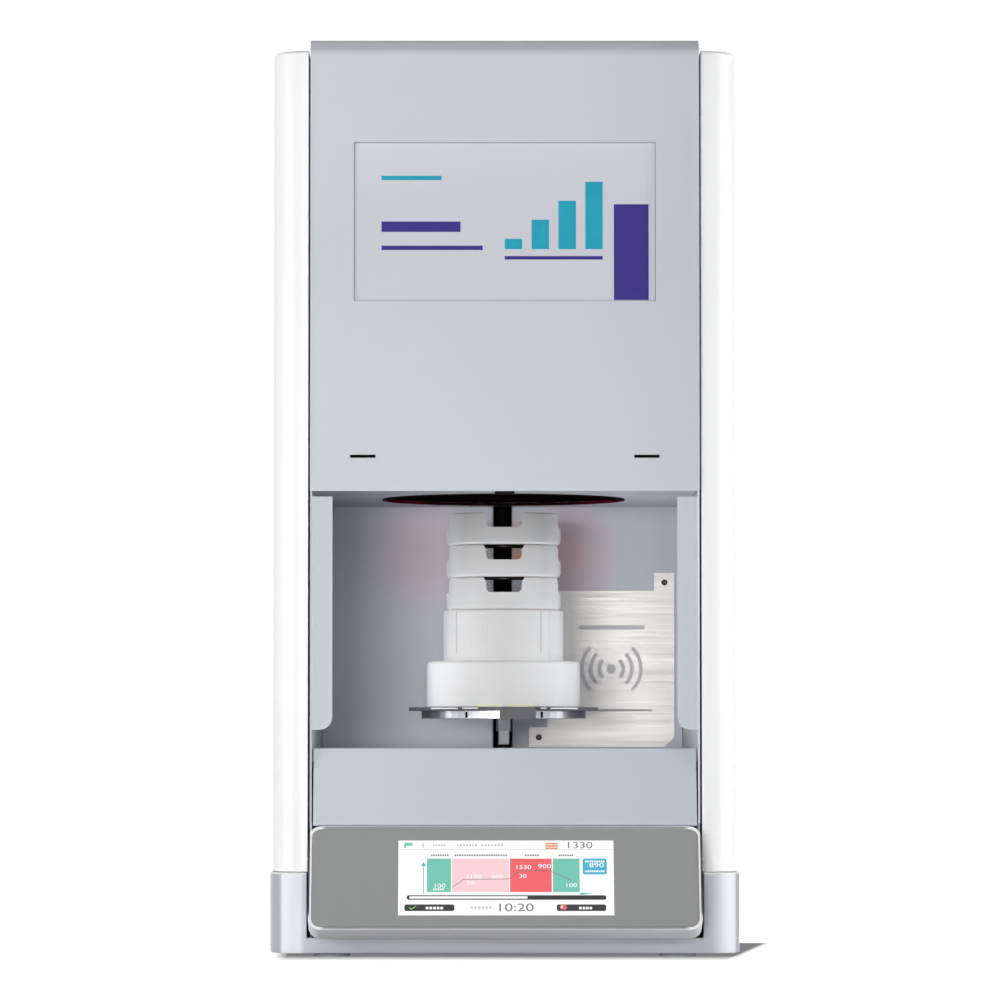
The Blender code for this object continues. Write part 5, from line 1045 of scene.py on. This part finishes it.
def make_badge_outline():
    """A painted shade line just inside the window that shows the printed panel, with a paler painted
    highlight along its foot.
    """
    face = upright_face("badge_plate")
    inset_x = BADGE_BORDER / face.across.length
    inset_y = BADGE_BORDER / face.down.length
    path = [(inset_x, 1 - inset_y), (inset_x, inset_y), (1 - inset_x, inset_y), (1 - inset_x, 1 - inset_y)]
    shade = print_ink("badge_outline_painted_shade", linear(146, 148, 156))
    make_prints("badge_outline", face.stroke(path, OUTLINE_WIDTH), "cabinet", "badge_film", shade)
    foot = face.stroke([path[0], path[-1]], OUTLINE_FOOT_WIDTH)
    pale = print_ink("badge_foot_painted_highlight", linear(188, 190, 198))
    make_prints("badge_outline_foot", foot, "cabinet", "badge_film", pale)


SCREEN_COLOURS = {
    "green": linear(112, 196, 174), "pink": linear(249, 207, 212), "red": linear(240, 98, 104),
    "blue": linear(70, 176, 210), "teal": linear(52, 176, 176), "dark": linear(44, 46, 46), "white": WHITE,
    "faint": linear(205, 208, 208), "orange": linear(232, 140, 92), "lime": linear(170, 220, 70),
    "grey": linear(112, 112, 114),
}
# The screen's picture, in shares of its width and height. Tiles: colour, left, right, top, bottom, layer and
# how round the corners are
BLOCK_TOP = 0.243
BLOCK_FOOT = 0.694
BUTTON_TOP = 0.859
BUTTON_FOOT = 0.948
BUTTON_ROUND = 0.3
SCREEN_TILES = (
    ("green", 0.027, 0.036, 0.03, 0.10, 1, 0.0),
    ("green", 0.036, 0.066, 0.03, 0.07, 1, 0.0),
    ("green", 0.133, 0.245, BLOCK_TOP, BLOCK_FOOT, 1, 0.0),
    ("green", 0.717, 0.8415, BLOCK_TOP, BLOCK_FOOT, 1, 0.0),
    ("pink", 0.249, 0.5135, BLOCK_TOP, BLOCK_FOOT, 1, 0.0),
    ("red", 0.5185, 0.712, BLOCK_TOP, BLOCK_FOOT, 1, 0.0),
    ("red", 0.749, 0.781, 0.868, 0.93, 5, BUTTON_ROUND),
    ("blue", 0.8556, 0.968, BLOCK_TOP, 0.457, 1, 0.12),
    ("teal", 0.1155, 0.1195, 0.31, 0.716, 1, 0.0),
    ("dark", 0.039, 0.965, 0.736, 0.797, 1, 0.5),
    ("dark", 0.029, 0.261, BUTTON_TOP, BUTTON_FOOT, 1, BUTTON_ROUND),
    ("dark", 0.734, 0.963, BUTTON_TOP, BUTTON_FOOT, 1, BUTTON_ROUND),
    ("white", 0.052, 0.599, 0.751, 0.782, 3, 0.3),
    ("white", 0.754, 0.762, 0.88, 0.91, 7, 0.0),
    ("faint", 0.01, 0.99, 0.118, 0.126, 1, 0.0),
    ("faint", 0.118, 0.845, 0.711, 0.718, 1, 0.0),
    ("orange", 0.683, 0.742, 0.032, 0.054, 1, 0.0),
    ("orange", 0.683, 0.742, 0.063, 0.085, 1, 0.0),
    ("orange", 0.683, 0.742, 0.094, 0.116, 1, 0.0),
)
# The heads of the two axes' arrows
ARROW_UP = ((0.107, 0.345), (0.128, 0.345), (0.1175, 0.285))
ARROW_RIGHT = ((0.845, 0.700), (0.845, 0.730), (0.905, 0.714))
# Digits: colour, what they say, left, middle, height, layer and how wide they are set
SCREEN_DIGITS = (
    ("white", "890", 0.885, 0.335, 0.085, 4, 1.5),
    ("white", "1530", 0.541, 0.362, 0.075, 4, 1.4),
    ("white", "900", 0.648, 0.350, 0.080, 4, 1.4),
    ("white", "30", 0.560, 0.482, 0.070, 4, 1.4),
    ("white", "1100", 0.311, 0.490, 0.075, 4, 1.4),
    ("white", "400", 0.430, 0.490, 0.075, 4, 1.4),
    ("white", "20", 0.318, 0.573, 0.065, 4, 1.4),
    ("white", "100", 0.162, 0.612, 0.075, 4, 1.4),
    ("white", "100", 0.772, 0.606, 0.075, 4, 1.4),
    ("grey", "10:20", 0.452, 0.905, 0.150, 2, 1.45),
    ("grey", "1330", 0.775, 0.068, 0.125, 2, 1.4),
    ("grey", "1", 0.105, 0.068, 0.10, 2, 1.0),
)
# Small printed words, as rows of short tiles: colour, left, right, top, bottom, how many and layer
DASH_SHARE = 0.72
SCREEN_WORDS = (
    ("white", 0.868, 0.960, 0.272, 0.294, 9, 4),
    ("white", 0.868, 0.960, 0.405, 0.427, 9, 4),
    ("white", 0.128, 0.213, 0.892, 0.926, 5, 5),
    ("white", 0.8375, 0.902, 0.892, 0.926, 4, 5),
    ("white", 0.162, 0.215, 0.648, 0.668, 5, 4),
    ("grey", 0.151, 0.236, 0.190, 0.212, 8, 2),
    ("grey", 0.260, 0.509, 0.190, 0.212, 22, 2),
    ("grey", 0.587, 0.657, 0.190, 0.212, 6, 2),
    ("grey", 0.745, 0.815, 0.190, 0.212, 7, 2),
    ("faint", 0.159, 0.222, 0.045, 0.080, 5, 2),
    ("faint", 0.272, 0.370, 0.045, 0.080, 7, 2),
    ("faint", 0.385, 0.492, 0.045, 0.080, 7, 2),
    ("faint", 0.335, 0.438, 0.885, 0.920, 6, 2),
)
# The firing curve and the tick on the left button
CURVE = ((0.252, 0.63), (0.302, 0.525), (0.512, 0.518), (0.567, 0.40), (0.700, 0.405), (0.718, 0.43),
         (0.775, 0.50), (0.800, 0.53))
CURVE_WIDTH = 0.0005
CURVE_LAYER = 3
TICK = ((0.052, 0.905), (0.062, 0.925), (0.082, 0.885))
TICK_WIDTH = 0.0006
TICK_LAYER = 5


def dashes(face, left, right, top, bottom, count, layer):
    """A row of short tiles that stands for a small printed word."""
    step = (right - left) / count
    return [face.tile(left + step * index, left + step * (index + DASH_SHARE), top, bottom, layer)
            for index in range(count)]


def make_screen():
    """The lit picture: a firing programme as blocks and a curve, a progress bar and two buttons."""
    face = sloping_face("touch_screen")
    parts = {colour: [] for colour in SCREEN_COLOURS}
    for colour, *place in SCREEN_TILES:
        parts[colour].append(face.tile(*place))
    parts["teal"] += [face.polygon(ARROW_UP), face.polygon(ARROW_RIGHT)]
    parts["lime"] += face.stroke(TICK, TICK_WIDTH, TICK_LAYER)
    parts["grey"] += face.stroke(CURVE, CURVE_WIDTH, CURVE_LAYER)
    for colour, *place in SCREEN_DIGITS:
        parts[colour].append(face.words(*place))
    for colour, *place in SCREEN_WORDS:
        parts[colour] += dashes(face, *place)
    for colour, things in parts.items():
        light = lit("screen_" + colour + "_light", SCREEN_COLOURS[colour])
        make_prints("screen_" + colour, things, "cabinet", "screen_glass", light)


ARC_STEPS = 14


def arc_on(face, right, below, radius, width, side, spread):
    """A flat arc lying on a face, open to the other side; spread is half its angle."""
    deselect()
    bpy.ops.mesh.primitive_grid_add(x_subdivisions=ARC_STEPS, y_subdivisions=1, size=1.0,
                                    location=face.place(right, below), rotation=face.turn)
    arc = bpy.context.object
    for vertex in arc.data.vertices:
        angle = 2 * spread * vertex.co.x
        reach = radius + width * vertex.co.y
        vertex.co = (side * reach * cos(angle), side * reach * sin(-angle), 0.0)
    return arc


def dot_on(face, right, below, radius):
    deselect()
    bpy.ops.mesh.primitive_circle_add(vertices=32, radius=radius, fill_type="NGON",
                                      location=face.place(right, below), rotation=face.turn)
    return bpy.context.object


SIGN_GREY = linear(214, 214, 215)
SIGN_X = 0.0983
SIGN_Z = 0.2466
SIGN_DOT = 0.0043
WAVE_RADII = (0.0108, 0.0187, 0.0268)
WAVE_WIDTH = 0.0034
WAVE_SPREAD = radians(46)
UPPER_RULE = (0.345, 0.795, 0.300, 0.326)
LOWER_RULE = (0.478, 0.845, 0.783, 0.795)


def make_sensor_marks():
    """The common sign for radiated waves, a short rule above it and the printed line under it."""
    face = upright_face("sensor_plate")
    low, high = (Vector(corner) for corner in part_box("sensor_plate"))
    middle = ((SIGN_X - low.x) / (high.x - low.x), (high.z - SIGN_Z) / (high.z - low.z))
    things = [dot_on(face, *middle, SIGN_DOT)]
    for side in (-1, 1):
        for radius in WAVE_RADII:
            things.append(arc_on(face, *middle, radius, WAVE_WIDTH, side, WAVE_SPREAD))
    things.append(face.tile(*UPPER_RULE))
    make_prints("sensor_print", things, "cabinet", "brushed_steel", print_ink("sensor_print_grey", SIGN_GREY))
    rule_ink = print_ink("sensor_rule_grey", linear(188, 188, 187))
    make_prints("sensor_rule", [face.tile(*LOWER_RULE)], "cabinet", "brushed_steel", rule_ink)


# Small pieces of the bay and the display

HOOD_SLOT_X = 0.1199
HOOD_SLOT_Z = 0.4220
HOOD_SLOT_WIDTH = 0.0215
SLOT_OVERLAP = 0.002
SLOT_BACK = 0.0017
RING_NOTCH_X = 0.0325
# Dark blocks of painted shade in the support ring's notches
NOTCH_SHADE_WIDTH = 0.0019
NOTCH_SHADE_DEPTH = 0.0012
NOTCH_SHADE_SINK = 0.0004
CEILING_Z = 0.3932
RIM_THICKNESS = 0.0004
RIM_WIDTH = 0.004
RIM_RISE = 0.0022
SLOT_SHADE_HALF_WIDTH = 0.0083
SLOT_SHADE_REAR = (0.0625, 0.1062)
SLOT_SHADE_FRONT = (-0.2055, -0.150)
PAD_HALF_WIDTH = 0.0042
PAD_STAND = 0.0008
PAD_GAP = 0.00005
PAD_FOOT = 0.001
PAD_TOP = 0.0125
PAD_EDGE = 0.0003
UNDERSIDE_RADIUS = 0.0458
UNDERSIDE_HOLE_SHARE = 0.1
HEAD_STRIP_HALF_WIDTH = 0.153
HEAD_STRIP_DEPTHS = (-0.2098, -0.2086)
HEAD_STRIP_HEIGHTS = (0.1098, 0.1118)
COVER_SCREW_RADIUS = 0.0034
COVER_SCREW_HEAD = 0.0016
COVER_SCREW_ROUND_SHARE = 0.4
COVER_SOCKET_WALL_SHARE = 0.45
COVER_SOCKET_DEPTH_SHARE = 0.6
COVER_SCREW_INSET = 0.0075
COVER_SCREW_ROWS = 5
SCREW_SMOOTH_ANGLE = radians(40)


def make_mouth_rim():
    """The edge of the chamber's mouth, flush with the bay's ceiling, in painted shade with a painted crimson
    glow.
    """
    deselect()
    bpy.ops.mesh.primitive_circle_add(vertices=96, radius=MOUTH_RADIUS,
                                      location=(0.0, STACK_Y, CEILING_Z - 2 * RIM_THICKNESS))
    ring = bpy.context.object
    centre = ring.location.copy()
    share = (MOUTH_RADIUS - RIM_WIDTH) / MOUTH_RADIUS
    bpy.ops.object.mode_set(mode="EDIT")
    bpy.ops.mesh.select_all(action="SELECT")
    bpy.ops.mesh.extrude_edges_move()
    bpy.ops.transform.resize(value=(share, share, 1.0), center_override=centre)
    bpy.ops.mesh.extrude_edges_move()
    bpy.ops.transform.translate(value=(0.0, 0.0, RIM_RISE))
    bpy.ops.mesh.select_all(action="SELECT")
    bpy.ops.mesh.normals_make_consistent(inside=False)
    bpy.ops.object.mode_set(mode="OBJECT")
    wall = ring.modifiers.new("wall", "SOLIDIFY")
    wall.thickness = RIM_THICKNESS
    wall.offset = 0.0
    apply_modifiers(ring)
    settle(ring, "mouth_rim", "cabinet", "burnt_steel", ember)


def block_at(low, high):
    """A block between two corners."""
    deselect()
    low = Vector(low)
    high = Vector(high)
    bpy.ops.mesh.primitive_cube_add(size=1.0, location=(low + high) / 2)
    made = bpy.context.object
    made.scale = high - low
    bpy.ops.object.transform_apply(location=True, rotation=True, scale=True)
    return made


def make_ceiling_slot_shade():
    """A black strip of painted shade that carries the shade of the back wall's slot on to the chamber's
    mouth.
    """
    top = CEILING_Z - RIM_THICKNESS
    pieces = [block_at((-SLOT_SHADE_HALF_WIDTH, front, top - RIM_THICKNESS), (SLOT_SHADE_HALF_WIDTH, rear, top))
              for front, rear in (SLOT_SHADE_REAR, SLOT_SHADE_FRONT)]
    settle(gather(pieces), "ceiling_slot_shade", "cabinet", "burnt_steel", slot_shade_black)


def make_hood_slot_shades():
    """Dark strips of painted shade behind the two slots in the hood's front."""
    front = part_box("hood")[0][1]
    for name, side in (("left", -1), ("right", 1)):
        middle = side * HOOD_SLOT_X
        reach = HOOD_SLOT_WIDTH / 2 + SLOT_OVERLAP
        strip = block_at((middle - reach, front + SLOT_BACK, HOOD_SLOT_Z - SLOT_OVERLAP),
                         (middle + reach, front + SLOT_BACK + SLOT_OVERLAP / 2, HOOD_SLOT_Z + SLOT_OVERLAP))
        settle(strip, "hood_slot_shade_" + name, "cabinet", "black_plastic", slot_shade_black)


def make_ring_notch_shades():
    """Dark blocks of painted shade in the two notches at the front of the support ring."""
    low, high = (Vector(corner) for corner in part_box("support_ring"))
    radius = (high.x - low.x) / 2
    front = STACK_Y - (radius ** 2 - RING_NOTCH_X ** 2) ** 0.5 + NOTCH_SHADE_SINK
    notch_shades = []
    for middle in (-RING_NOTCH_X, RING_NOTCH_X):
        notch_shades.append(block_at((middle - NOTCH_SHADE_WIDTH / 2, front, low.z + NOTCH_SHADE_SINK),
                              (middle + NOTCH_SHADE_WIDTH / 2, front + NOTCH_SHADE_DEPTH, high.z - NOTCH_SHADE_SINK)))
    settle(gather(notch_shades), "ring_notch_shades", "lift", "burnt_steel", lift_black)


def make_arm_pad():
    """The paler pad let into the lower half of the lift arm's end."""
    low, high = (Vector(corner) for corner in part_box("lift_arm"))
    pad = block_at((-PAD_HALF_WIDTH, low.y - PAD_STAND, low.z + PAD_FOOT),
                   (PAD_HALF_WIDTH, low.y - PAD_GAP, low.z + PAD_TOP))
    edges = pad.modifiers.new("edges", "BEVEL")
    edges.width = PAD_EDGE
    edges.segments = 2
    apply_modifiers(pad)
    settle(pad, "arm_pad", "lift", "cast_grey", pad_grey)


def arc_band(radius, low_z, high_z, start, stop, thickness, steps=16):
    """A band standing on an arc round the lift's axis; angles run from the front, positive to the right."""
    deselect()
    bpy.ops.mesh.primitive_grid_add(x_subdivisions=steps, y_subdivisions=1, size=1.0)
    band = bpy.context.object
    for vertex in band.data.vertices:
        angle = start + (stop - start) * (vertex.co.x + 0.5)
        height = low_z + (high_z - low_z) * (vertex.co.y + 0.5)
        vertex.co = (radius * sin(angle), STACK_Y - radius * cos(angle), height)
    wall = band.modifiers.new("wall", "SOLIDIFY")
    wall.thickness = thickness
    wall.offset = 1.0
    apply_modifiers(band)
    return band


def make_tray_undersides():
    """A dark sheet of painted shade under each upper tray's floor."""
    for number, body in ((2, "tray_middle"), (3, "tray_upper")):
        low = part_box(f"sintering_tray_{number}")[0]
        deselect()
        bpy.ops.mesh.primitive_circle_add(vertices=64, radius=UNDERSIDE_RADIUS,
                                          location=(0.0, STACK_Y, low[2] - PRINT_LIFT))
        ring = bpy.context.object
        centre = ring.location.copy()
        bpy.ops.object.mode_set(mode="EDIT")
        bpy.ops.mesh.select_all(action="SELECT")
        bpy.ops.mesh.extrude_edges_move()
        bpy.ops.transform.resize(value=(UNDERSIDE_HOLE_SHARE, UNDERSIDE_HOLE_SHARE, 1.0),
                                 center_override=centre)
        bpy.ops.mesh.select_all(action="SELECT")
        bpy.ops.mesh.normals_make_consistent(inside=False)
        bpy.ops.object.mode_set(mode="OBJECT")
        wall = ring.modifiers.new("shade_sheet", "SOLIDIFY")
        wall.thickness = PRINT_THICKNESS
        wall.offset = 0.0
        apply_modifiers(ring)
        settle(ring, f"tray_underside_{number}", body, "ceramic_white", underside_shade)


def make_head_light_strip():
    """A pale strip of painted light over the shaded gap between the display's head and the lower front panel.
    """
    strip = block_at((-HEAD_STRIP_HALF_WIDTH, HEAD_STRIP_DEPTHS[0], HEAD_STRIP_HEIGHTS[0]),
                     (HEAD_STRIP_HALF_WIDTH, HEAD_STRIP_DEPTHS[1], HEAD_STRIP_HEIGHTS[1]))
    settle(strip, "display_head_light_strip", "cabinet", "display_silver", head_strip_pale)


def make_cover_screws():
    """Round-headed screws down both edges of the rear cover, each with a socket."""
    low, high = (Vector(corner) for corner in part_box("rear_cover"))
    deselect()
    bpy.ops.mesh.primitive_cylinder_add(vertices=32, radius=COVER_SCREW_RADIUS, depth=COVER_SCREW_HEAD,
                                        rotation=(-pi / 2, 0.0, 0.0))
    first = bpy.context.object
    bpy.ops.object.transform_apply(location=False, rotation=True, scale=True)
    outer = max(face.center.y for face in first.data.polygons)
    for face in first.data.polygons:
        face.select = face.center.y > outer - MERGE
    bpy.ops.object.mode_set(mode="EDIT")
    bpy.ops.mesh.select_mode(type="FACE")
    bpy.ops.mesh.bevel(offset=COVER_SCREW_HEAD * COVER_SCREW_ROUND_SHARE, segments=3)
    bpy.ops.mesh.select_all(action="DESELECT")
    bpy.ops.object.mode_set(mode="OBJECT")
    for face in first.data.polygons:
        face.select = face.center.y > outer - MERGE and face.normal.y > 0.99
    bpy.ops.object.mode_set(mode="EDIT")
    bpy.ops.mesh.inset(thickness=COVER_SCREW_RADIUS * COVER_SOCKET_WALL_SHARE)
    bpy.ops.transform.translate(value=(0.0, -COVER_SCREW_HEAD * COVER_SOCKET_DEPTH_SHARE, 0.0))
    bpy.ops.object.mode_set(mode="OBJECT")
    bpy.ops.object.shade_smooth_by_angle(angle=SCREW_SMOOTH_ANGLE)
    screws = []
    step = (high.z - low.z - 2 * COVER_SCREW_INSET) / (COVER_SCREW_ROWS - 1)
    for x in (low.x + COVER_SCREW_INSET, high.x - COVER_SCREW_INSET):
        for row in range(COVER_SCREW_ROWS):
            screw = first.copy()
            screw.data = first.data.copy()
            bpy.context.scene.collection.objects.link(screw)
            screw.location = (x, high.y + COVER_SCREW_HEAD / 2, low.z + COVER_SCREW_INSET + row * step)
            screws.append(screw)
    bpy.data.objects.remove(first)
    settle(gather(screws), "rear_cover_screws", "cabinet", "burnt_steel", dark_lacquer)


# The pale windows along the disc's rim: two angles round the lift's axis and the depth of the top edge
DISC_WINDOWS = ((-0.86, -0.50, 0.0004), (-0.449, -0.277, 0.0003), (0.386, 0.453, 0.0003),
                (0.50, 0.87, 0.0004))
WINDOW_STAND = 0.0001
WINDOW_HEIGHT = 0.0013
WINDOW_THICKNESS = 0.0002
# The pedestal's two seams, by their angle round the lift's axis
SEAM_ANGLES = (-0.905, 0.658)
SEAM_HALF_ANGLE = 0.005
SEAM_STAND = 0.00002
SEAM_THICKNESS = 0.0001
SEAM_FOOT = 0.007
SEAM_HEAD = 0.001
# The painted highlight along the plug's foot, by the angles that it shows between
PLUG_HIGHLIGHTS = ((-0.347, -0.041), (0.048, 0.379))
PLUG_HIGHLIGHT_STAND = 0.0001
PLUG_HIGHLIGHT_HEIGHT = 0.0021
PLUG_HIGHLIGHT_THICKNESS = 0.0006


def round_box(node):
    """A round node's radius, foot and top."""
    low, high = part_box(node)
    return (high[0] - low[0]) / 2, low[2], high[2]


def make_stack_marks():
    """Seams down the pedestal, and a pale yellow painted highlight where the plug meets its disc."""
    radius, foot, top = round_box("pedestal")
    seams = [arc_band(radius + SEAM_STAND, foot + SEAM_FOOT, top - SEAM_HEAD, angle - SEAM_HALF_ANGLE,
                      angle + SEAM_HALF_ANGLE, SEAM_THICKNESS, 2) for angle in SEAM_ANGLES]
    settle(gather(seams), "pedestal_seams", "lift", "fibre_board", seam_grey)
    radius, foot, top = round_box("insulating_plug")
    highlight = [arc_band(radius + PLUG_HIGHLIGHT_STAND, foot, foot + PLUG_HIGHLIGHT_HEIGHT, start, stop,
                     PLUG_HIGHLIGHT_THICKNESS) for start, stop in PLUG_HIGHLIGHTS]
    settle(gather(highlight), "plug_highlight", "lift", "fibre_board", plug_highlight_yellow)
    radius, foot, top = round_box("support_disc")
    windows = [arc_band(radius + WINDOW_STAND, top - depth - WINDOW_HEIGHT, top - depth, start, stop,
                        WINDOW_THICKNESS) for start, stop, depth in DISC_WINDOWS]
    settle(gather(windows), "disc_windows", "lift", "burnt_steel", window_white)


# Setting


def set_camera():
    pitch = atan((HORIZON_ROW - IMAGE_PIXELS / 2) / FOCAL_PIXELS)
    bpy.ops.object.camera_add(location=EYE, rotation=(pi / 2 + pitch, 0.0, 0.0))
    camera = bpy.context.object
    camera.data.sensor_width = SENSOR_WIDTH
    camera.data.lens = SENSOR_WIDTH * FOCAL_PIXELS / IMAGE_PIXELS
    camera.data.shift_x = FRAME_SHIFT
    camera.data.clip_end = VIEW_DEPTH
    bpy.context.scene.camera = camera


def seen_directly(tree):
    """1 for what the camera sees itself, in a mirror or through glass, and 0 for light on surfaces."""
    rays = add_node(tree, "ShaderNodeLightPath").outputs
    direct = calc(tree, "MAXIMUM", rays["Is Camera Ray"], rays["Is Glossy Ray"])
    return calc(tree, "MAXIMUM", direct, rays["Is Transmission Ray"])


# Light: even from the sides, weak from above, with the main lamp low and a little to the left
AMBIENT = 0.42
ZENITH_SHARE = 0.1
KEY_POWER = 60.0
LEFT_POWER = 19.0
RIGHT_POWER = 23.5
BAY_POWER = 0.06
STACK_POWER = 115.0
STACK_CONE = radians(4.0)
STACK_BLEND = 0.7
STACK_LAMP_RADIUS = 0.25
STACK_LAMP_PLACE = Vector((0.12, -4.3, 0.2))
STACK_LAMP_TARGET = Vector((0.0, STACK_Y, 0.240))
AMBIENT_COLOUR = (0.98, 0.985, 1.0)
AMBIENT_FADE = (0.1, 0.55)
# Flat lamps: place, what each looks at, its width and height, and its power
FLAT_LAMPS = {
    "key": ((-0.78, -4.3, 0.3), (0.0, 0.1, 0.35), (1.0, 0.5), KEY_POWER),
    "left": ((-2.0, -1.2, 0.45), (0.0, 0.1, 0.35), (0.9, 0.9), LEFT_POWER),
    "right": ((2.0, -0.5, 0.45), (0.18, 0.1, 0.4), (0.9, 0.9), RIGHT_POWER),
    "bay_left": ((-0.149, -0.11, 0.255), (0.0, STACK_Y, 0.255), (0.02, 0.12), BAY_POWER),
    "bay_right": ((0.149, -0.11, 0.255), (0.0, STACK_Y, 0.255), (0.02, 0.12), BAY_POWER),
}


def set_world():
    world = bpy.data.worlds.new("studio")
    bpy.context.scene.world = world
    world.use_nodes = True
    tree = world.node_tree
    for old in list(tree.nodes):
        tree.nodes.remove(old)
    shown = add_node(tree, "ShaderNodeBackground")
    shown.inputs["Color"].default_value = (1.0, 1.0, 1.0, 1.0)
    shown.inputs["Strength"].default_value = 1.0
    height = add_node(tree, "ShaderNodeSeparateXYZ")
    feed(tree, add_node(tree, "ShaderNodeTexCoord").outputs["Generated"], height.inputs[0])
    ambient = add_node(tree, "ShaderNodeBackground")
    ambient.inputs["Color"].default_value = (*AMBIENT_COLOUR, 1.0)
    feed(tree, spread_out(tree, height.outputs["Z"], *AMBIENT_FADE, AMBIENT, AMBIENT * ZENITH_SHARE),
         ambient.inputs["Strength"])
    mix = add_node(tree, "ShaderNodeMixShader")
    feed(tree, seen_directly(tree), mix.inputs[0])
    tree.links.new(ambient.outputs[0], mix.inputs[1])
    tree.links.new(shown.outputs[0], mix.inputs[2])
    tree.links.new(mix.outputs[0], add_node(tree, "ShaderNodeOutputWorld").inputs["Surface"])


def add_lamp(kind, name, place, target, power):
    deselect()
    aim = (Vector(target) - Vector(place)).to_track_quat("-Z", "Y").to_euler()
    bpy.ops.object.light_add(type=kind, location=place, rotation=aim)
    lamp = bpy.context.object
    lamp.name = name
    lamp.data.energy = power
    return lamp


def set_lamps():
    for name, (place, target, size, power) in FLAT_LAMPS.items():
        lamp = add_lamp("AREA", name, place, target, power)
        lamp.data.shape = "RECTANGLE"
        lamp.data.size, lamp.data.size_y = size
        lamp.visible_camera = not name.startswith("bay")
    stack = add_lamp("SPOT", "stack", STACK_LAMP_PLACE, STACK_LAMP_TARGET, STACK_POWER)
    stack.data.spot_size = STACK_CONE
    stack.data.spot_blend = STACK_BLEND
    stack.data.shadow_soft_size = STACK_LAMP_RADIUS


# The floor is as white as the photograph's, but for the shadow under the base and close to it on its right:
# that one widens from the front corner to the back, and ends there
FLOOR_GLOW = 1.0
SHADOW_GLOW = 0.20
FLOOR_WHITE = 0.92
SHADOW_GREY = 0.06
SHADE_FRONT = (-0.300, -0.172)
SHADE_LEFT = (-0.198, -0.184)
SHADE_RIGHT = (0.186, 0.196)
SHADE_REAR = (0.235, 0.255)
SHADOW_START = (0.1940, -0.208)
SHADOW_END_Y = 0.095
SHADOW_WIDENS = 0.155
SHADOW_SOFT = 0.006
FLOOR_SIZE = 40.0


def set_floor():
    deselect()
    bpy.ops.mesh.primitive_plane_add(size=FLOOR_SIZE)
    floor = bpy.context.object
    floor.name = "floor"
    made, tree, shader = start_material("white_floor", roughness=0.9, specular=0.0)[:3]
    shader.inputs["Emission Color"].default_value = (1.0, 1.0, 1.0, 1.0)
    x = along(tree, "X")
    y = along(tree, "Y")
    front = calc(tree, "MULTIPLY", spread_out(tree, y, *SHADE_FRONT, 0, 1),
                 spread_out(tree, x, *SHADE_LEFT, 0, 1))
    under = calc(tree, "MULTIPLY", spread_out(tree, x, *SHADE_RIGHT, 1, 0),
                 spread_out(tree, y, *SHADE_REAR, 1, 0))
    start_x, start_y = SHADOW_START
    beyond = calc(tree, "SUBTRACT", calc(tree, "SUBTRACT", x, start_x),
                  calc(tree, "MULTIPLY", calc(tree, "SUBTRACT", y, start_y), SHADOW_WIDENS))
    beside = calc(tree, "MULTIPLY", spread_out(tree, beyond, -SHADOW_SOFT, SHADOW_SOFT / 2, 1, 0),
                  spread_out(tree, y, SHADOW_END_Y - 2 * SHADOW_SOFT, SHADOW_END_Y + SHADOW_SOFT, 1, 0))
    shade = calc(tree, "MULTIPLY", front, calc(tree, "MAXIMUM", under, beside))
    feed(tree, mix_colour(tree, shade, (FLOOR_WHITE,) * 3, (SHADOW_GREY,) * 3), shader.inputs["Base Color"])
    shown = spread_out(tree, shade, 0.0, 1.0, FLOOR_GLOW, SHADOW_GLOW)
    feed(tree, calc(tree, "MULTIPLY", seen_directly(tree), shown), shader.inputs["Emission Strength"])
    floor.data.materials.append(made)


dress_nodes()
make_badge()
make_screen()
make_sensor_marks()
make_badge_outline()
make_mouth_rim()
make_ceiling_slot_shade()
make_hood_slot_shades()
make_ring_notch_shades()
make_arm_pad()
make_head_light_strip()
make_tray_undersides()
make_cover_screws()
make_stack_marks()
set_camera()
set_world()
set_lamps()
set_floor()
bpy.context.scene.view_settings.view_transform = "Standard"
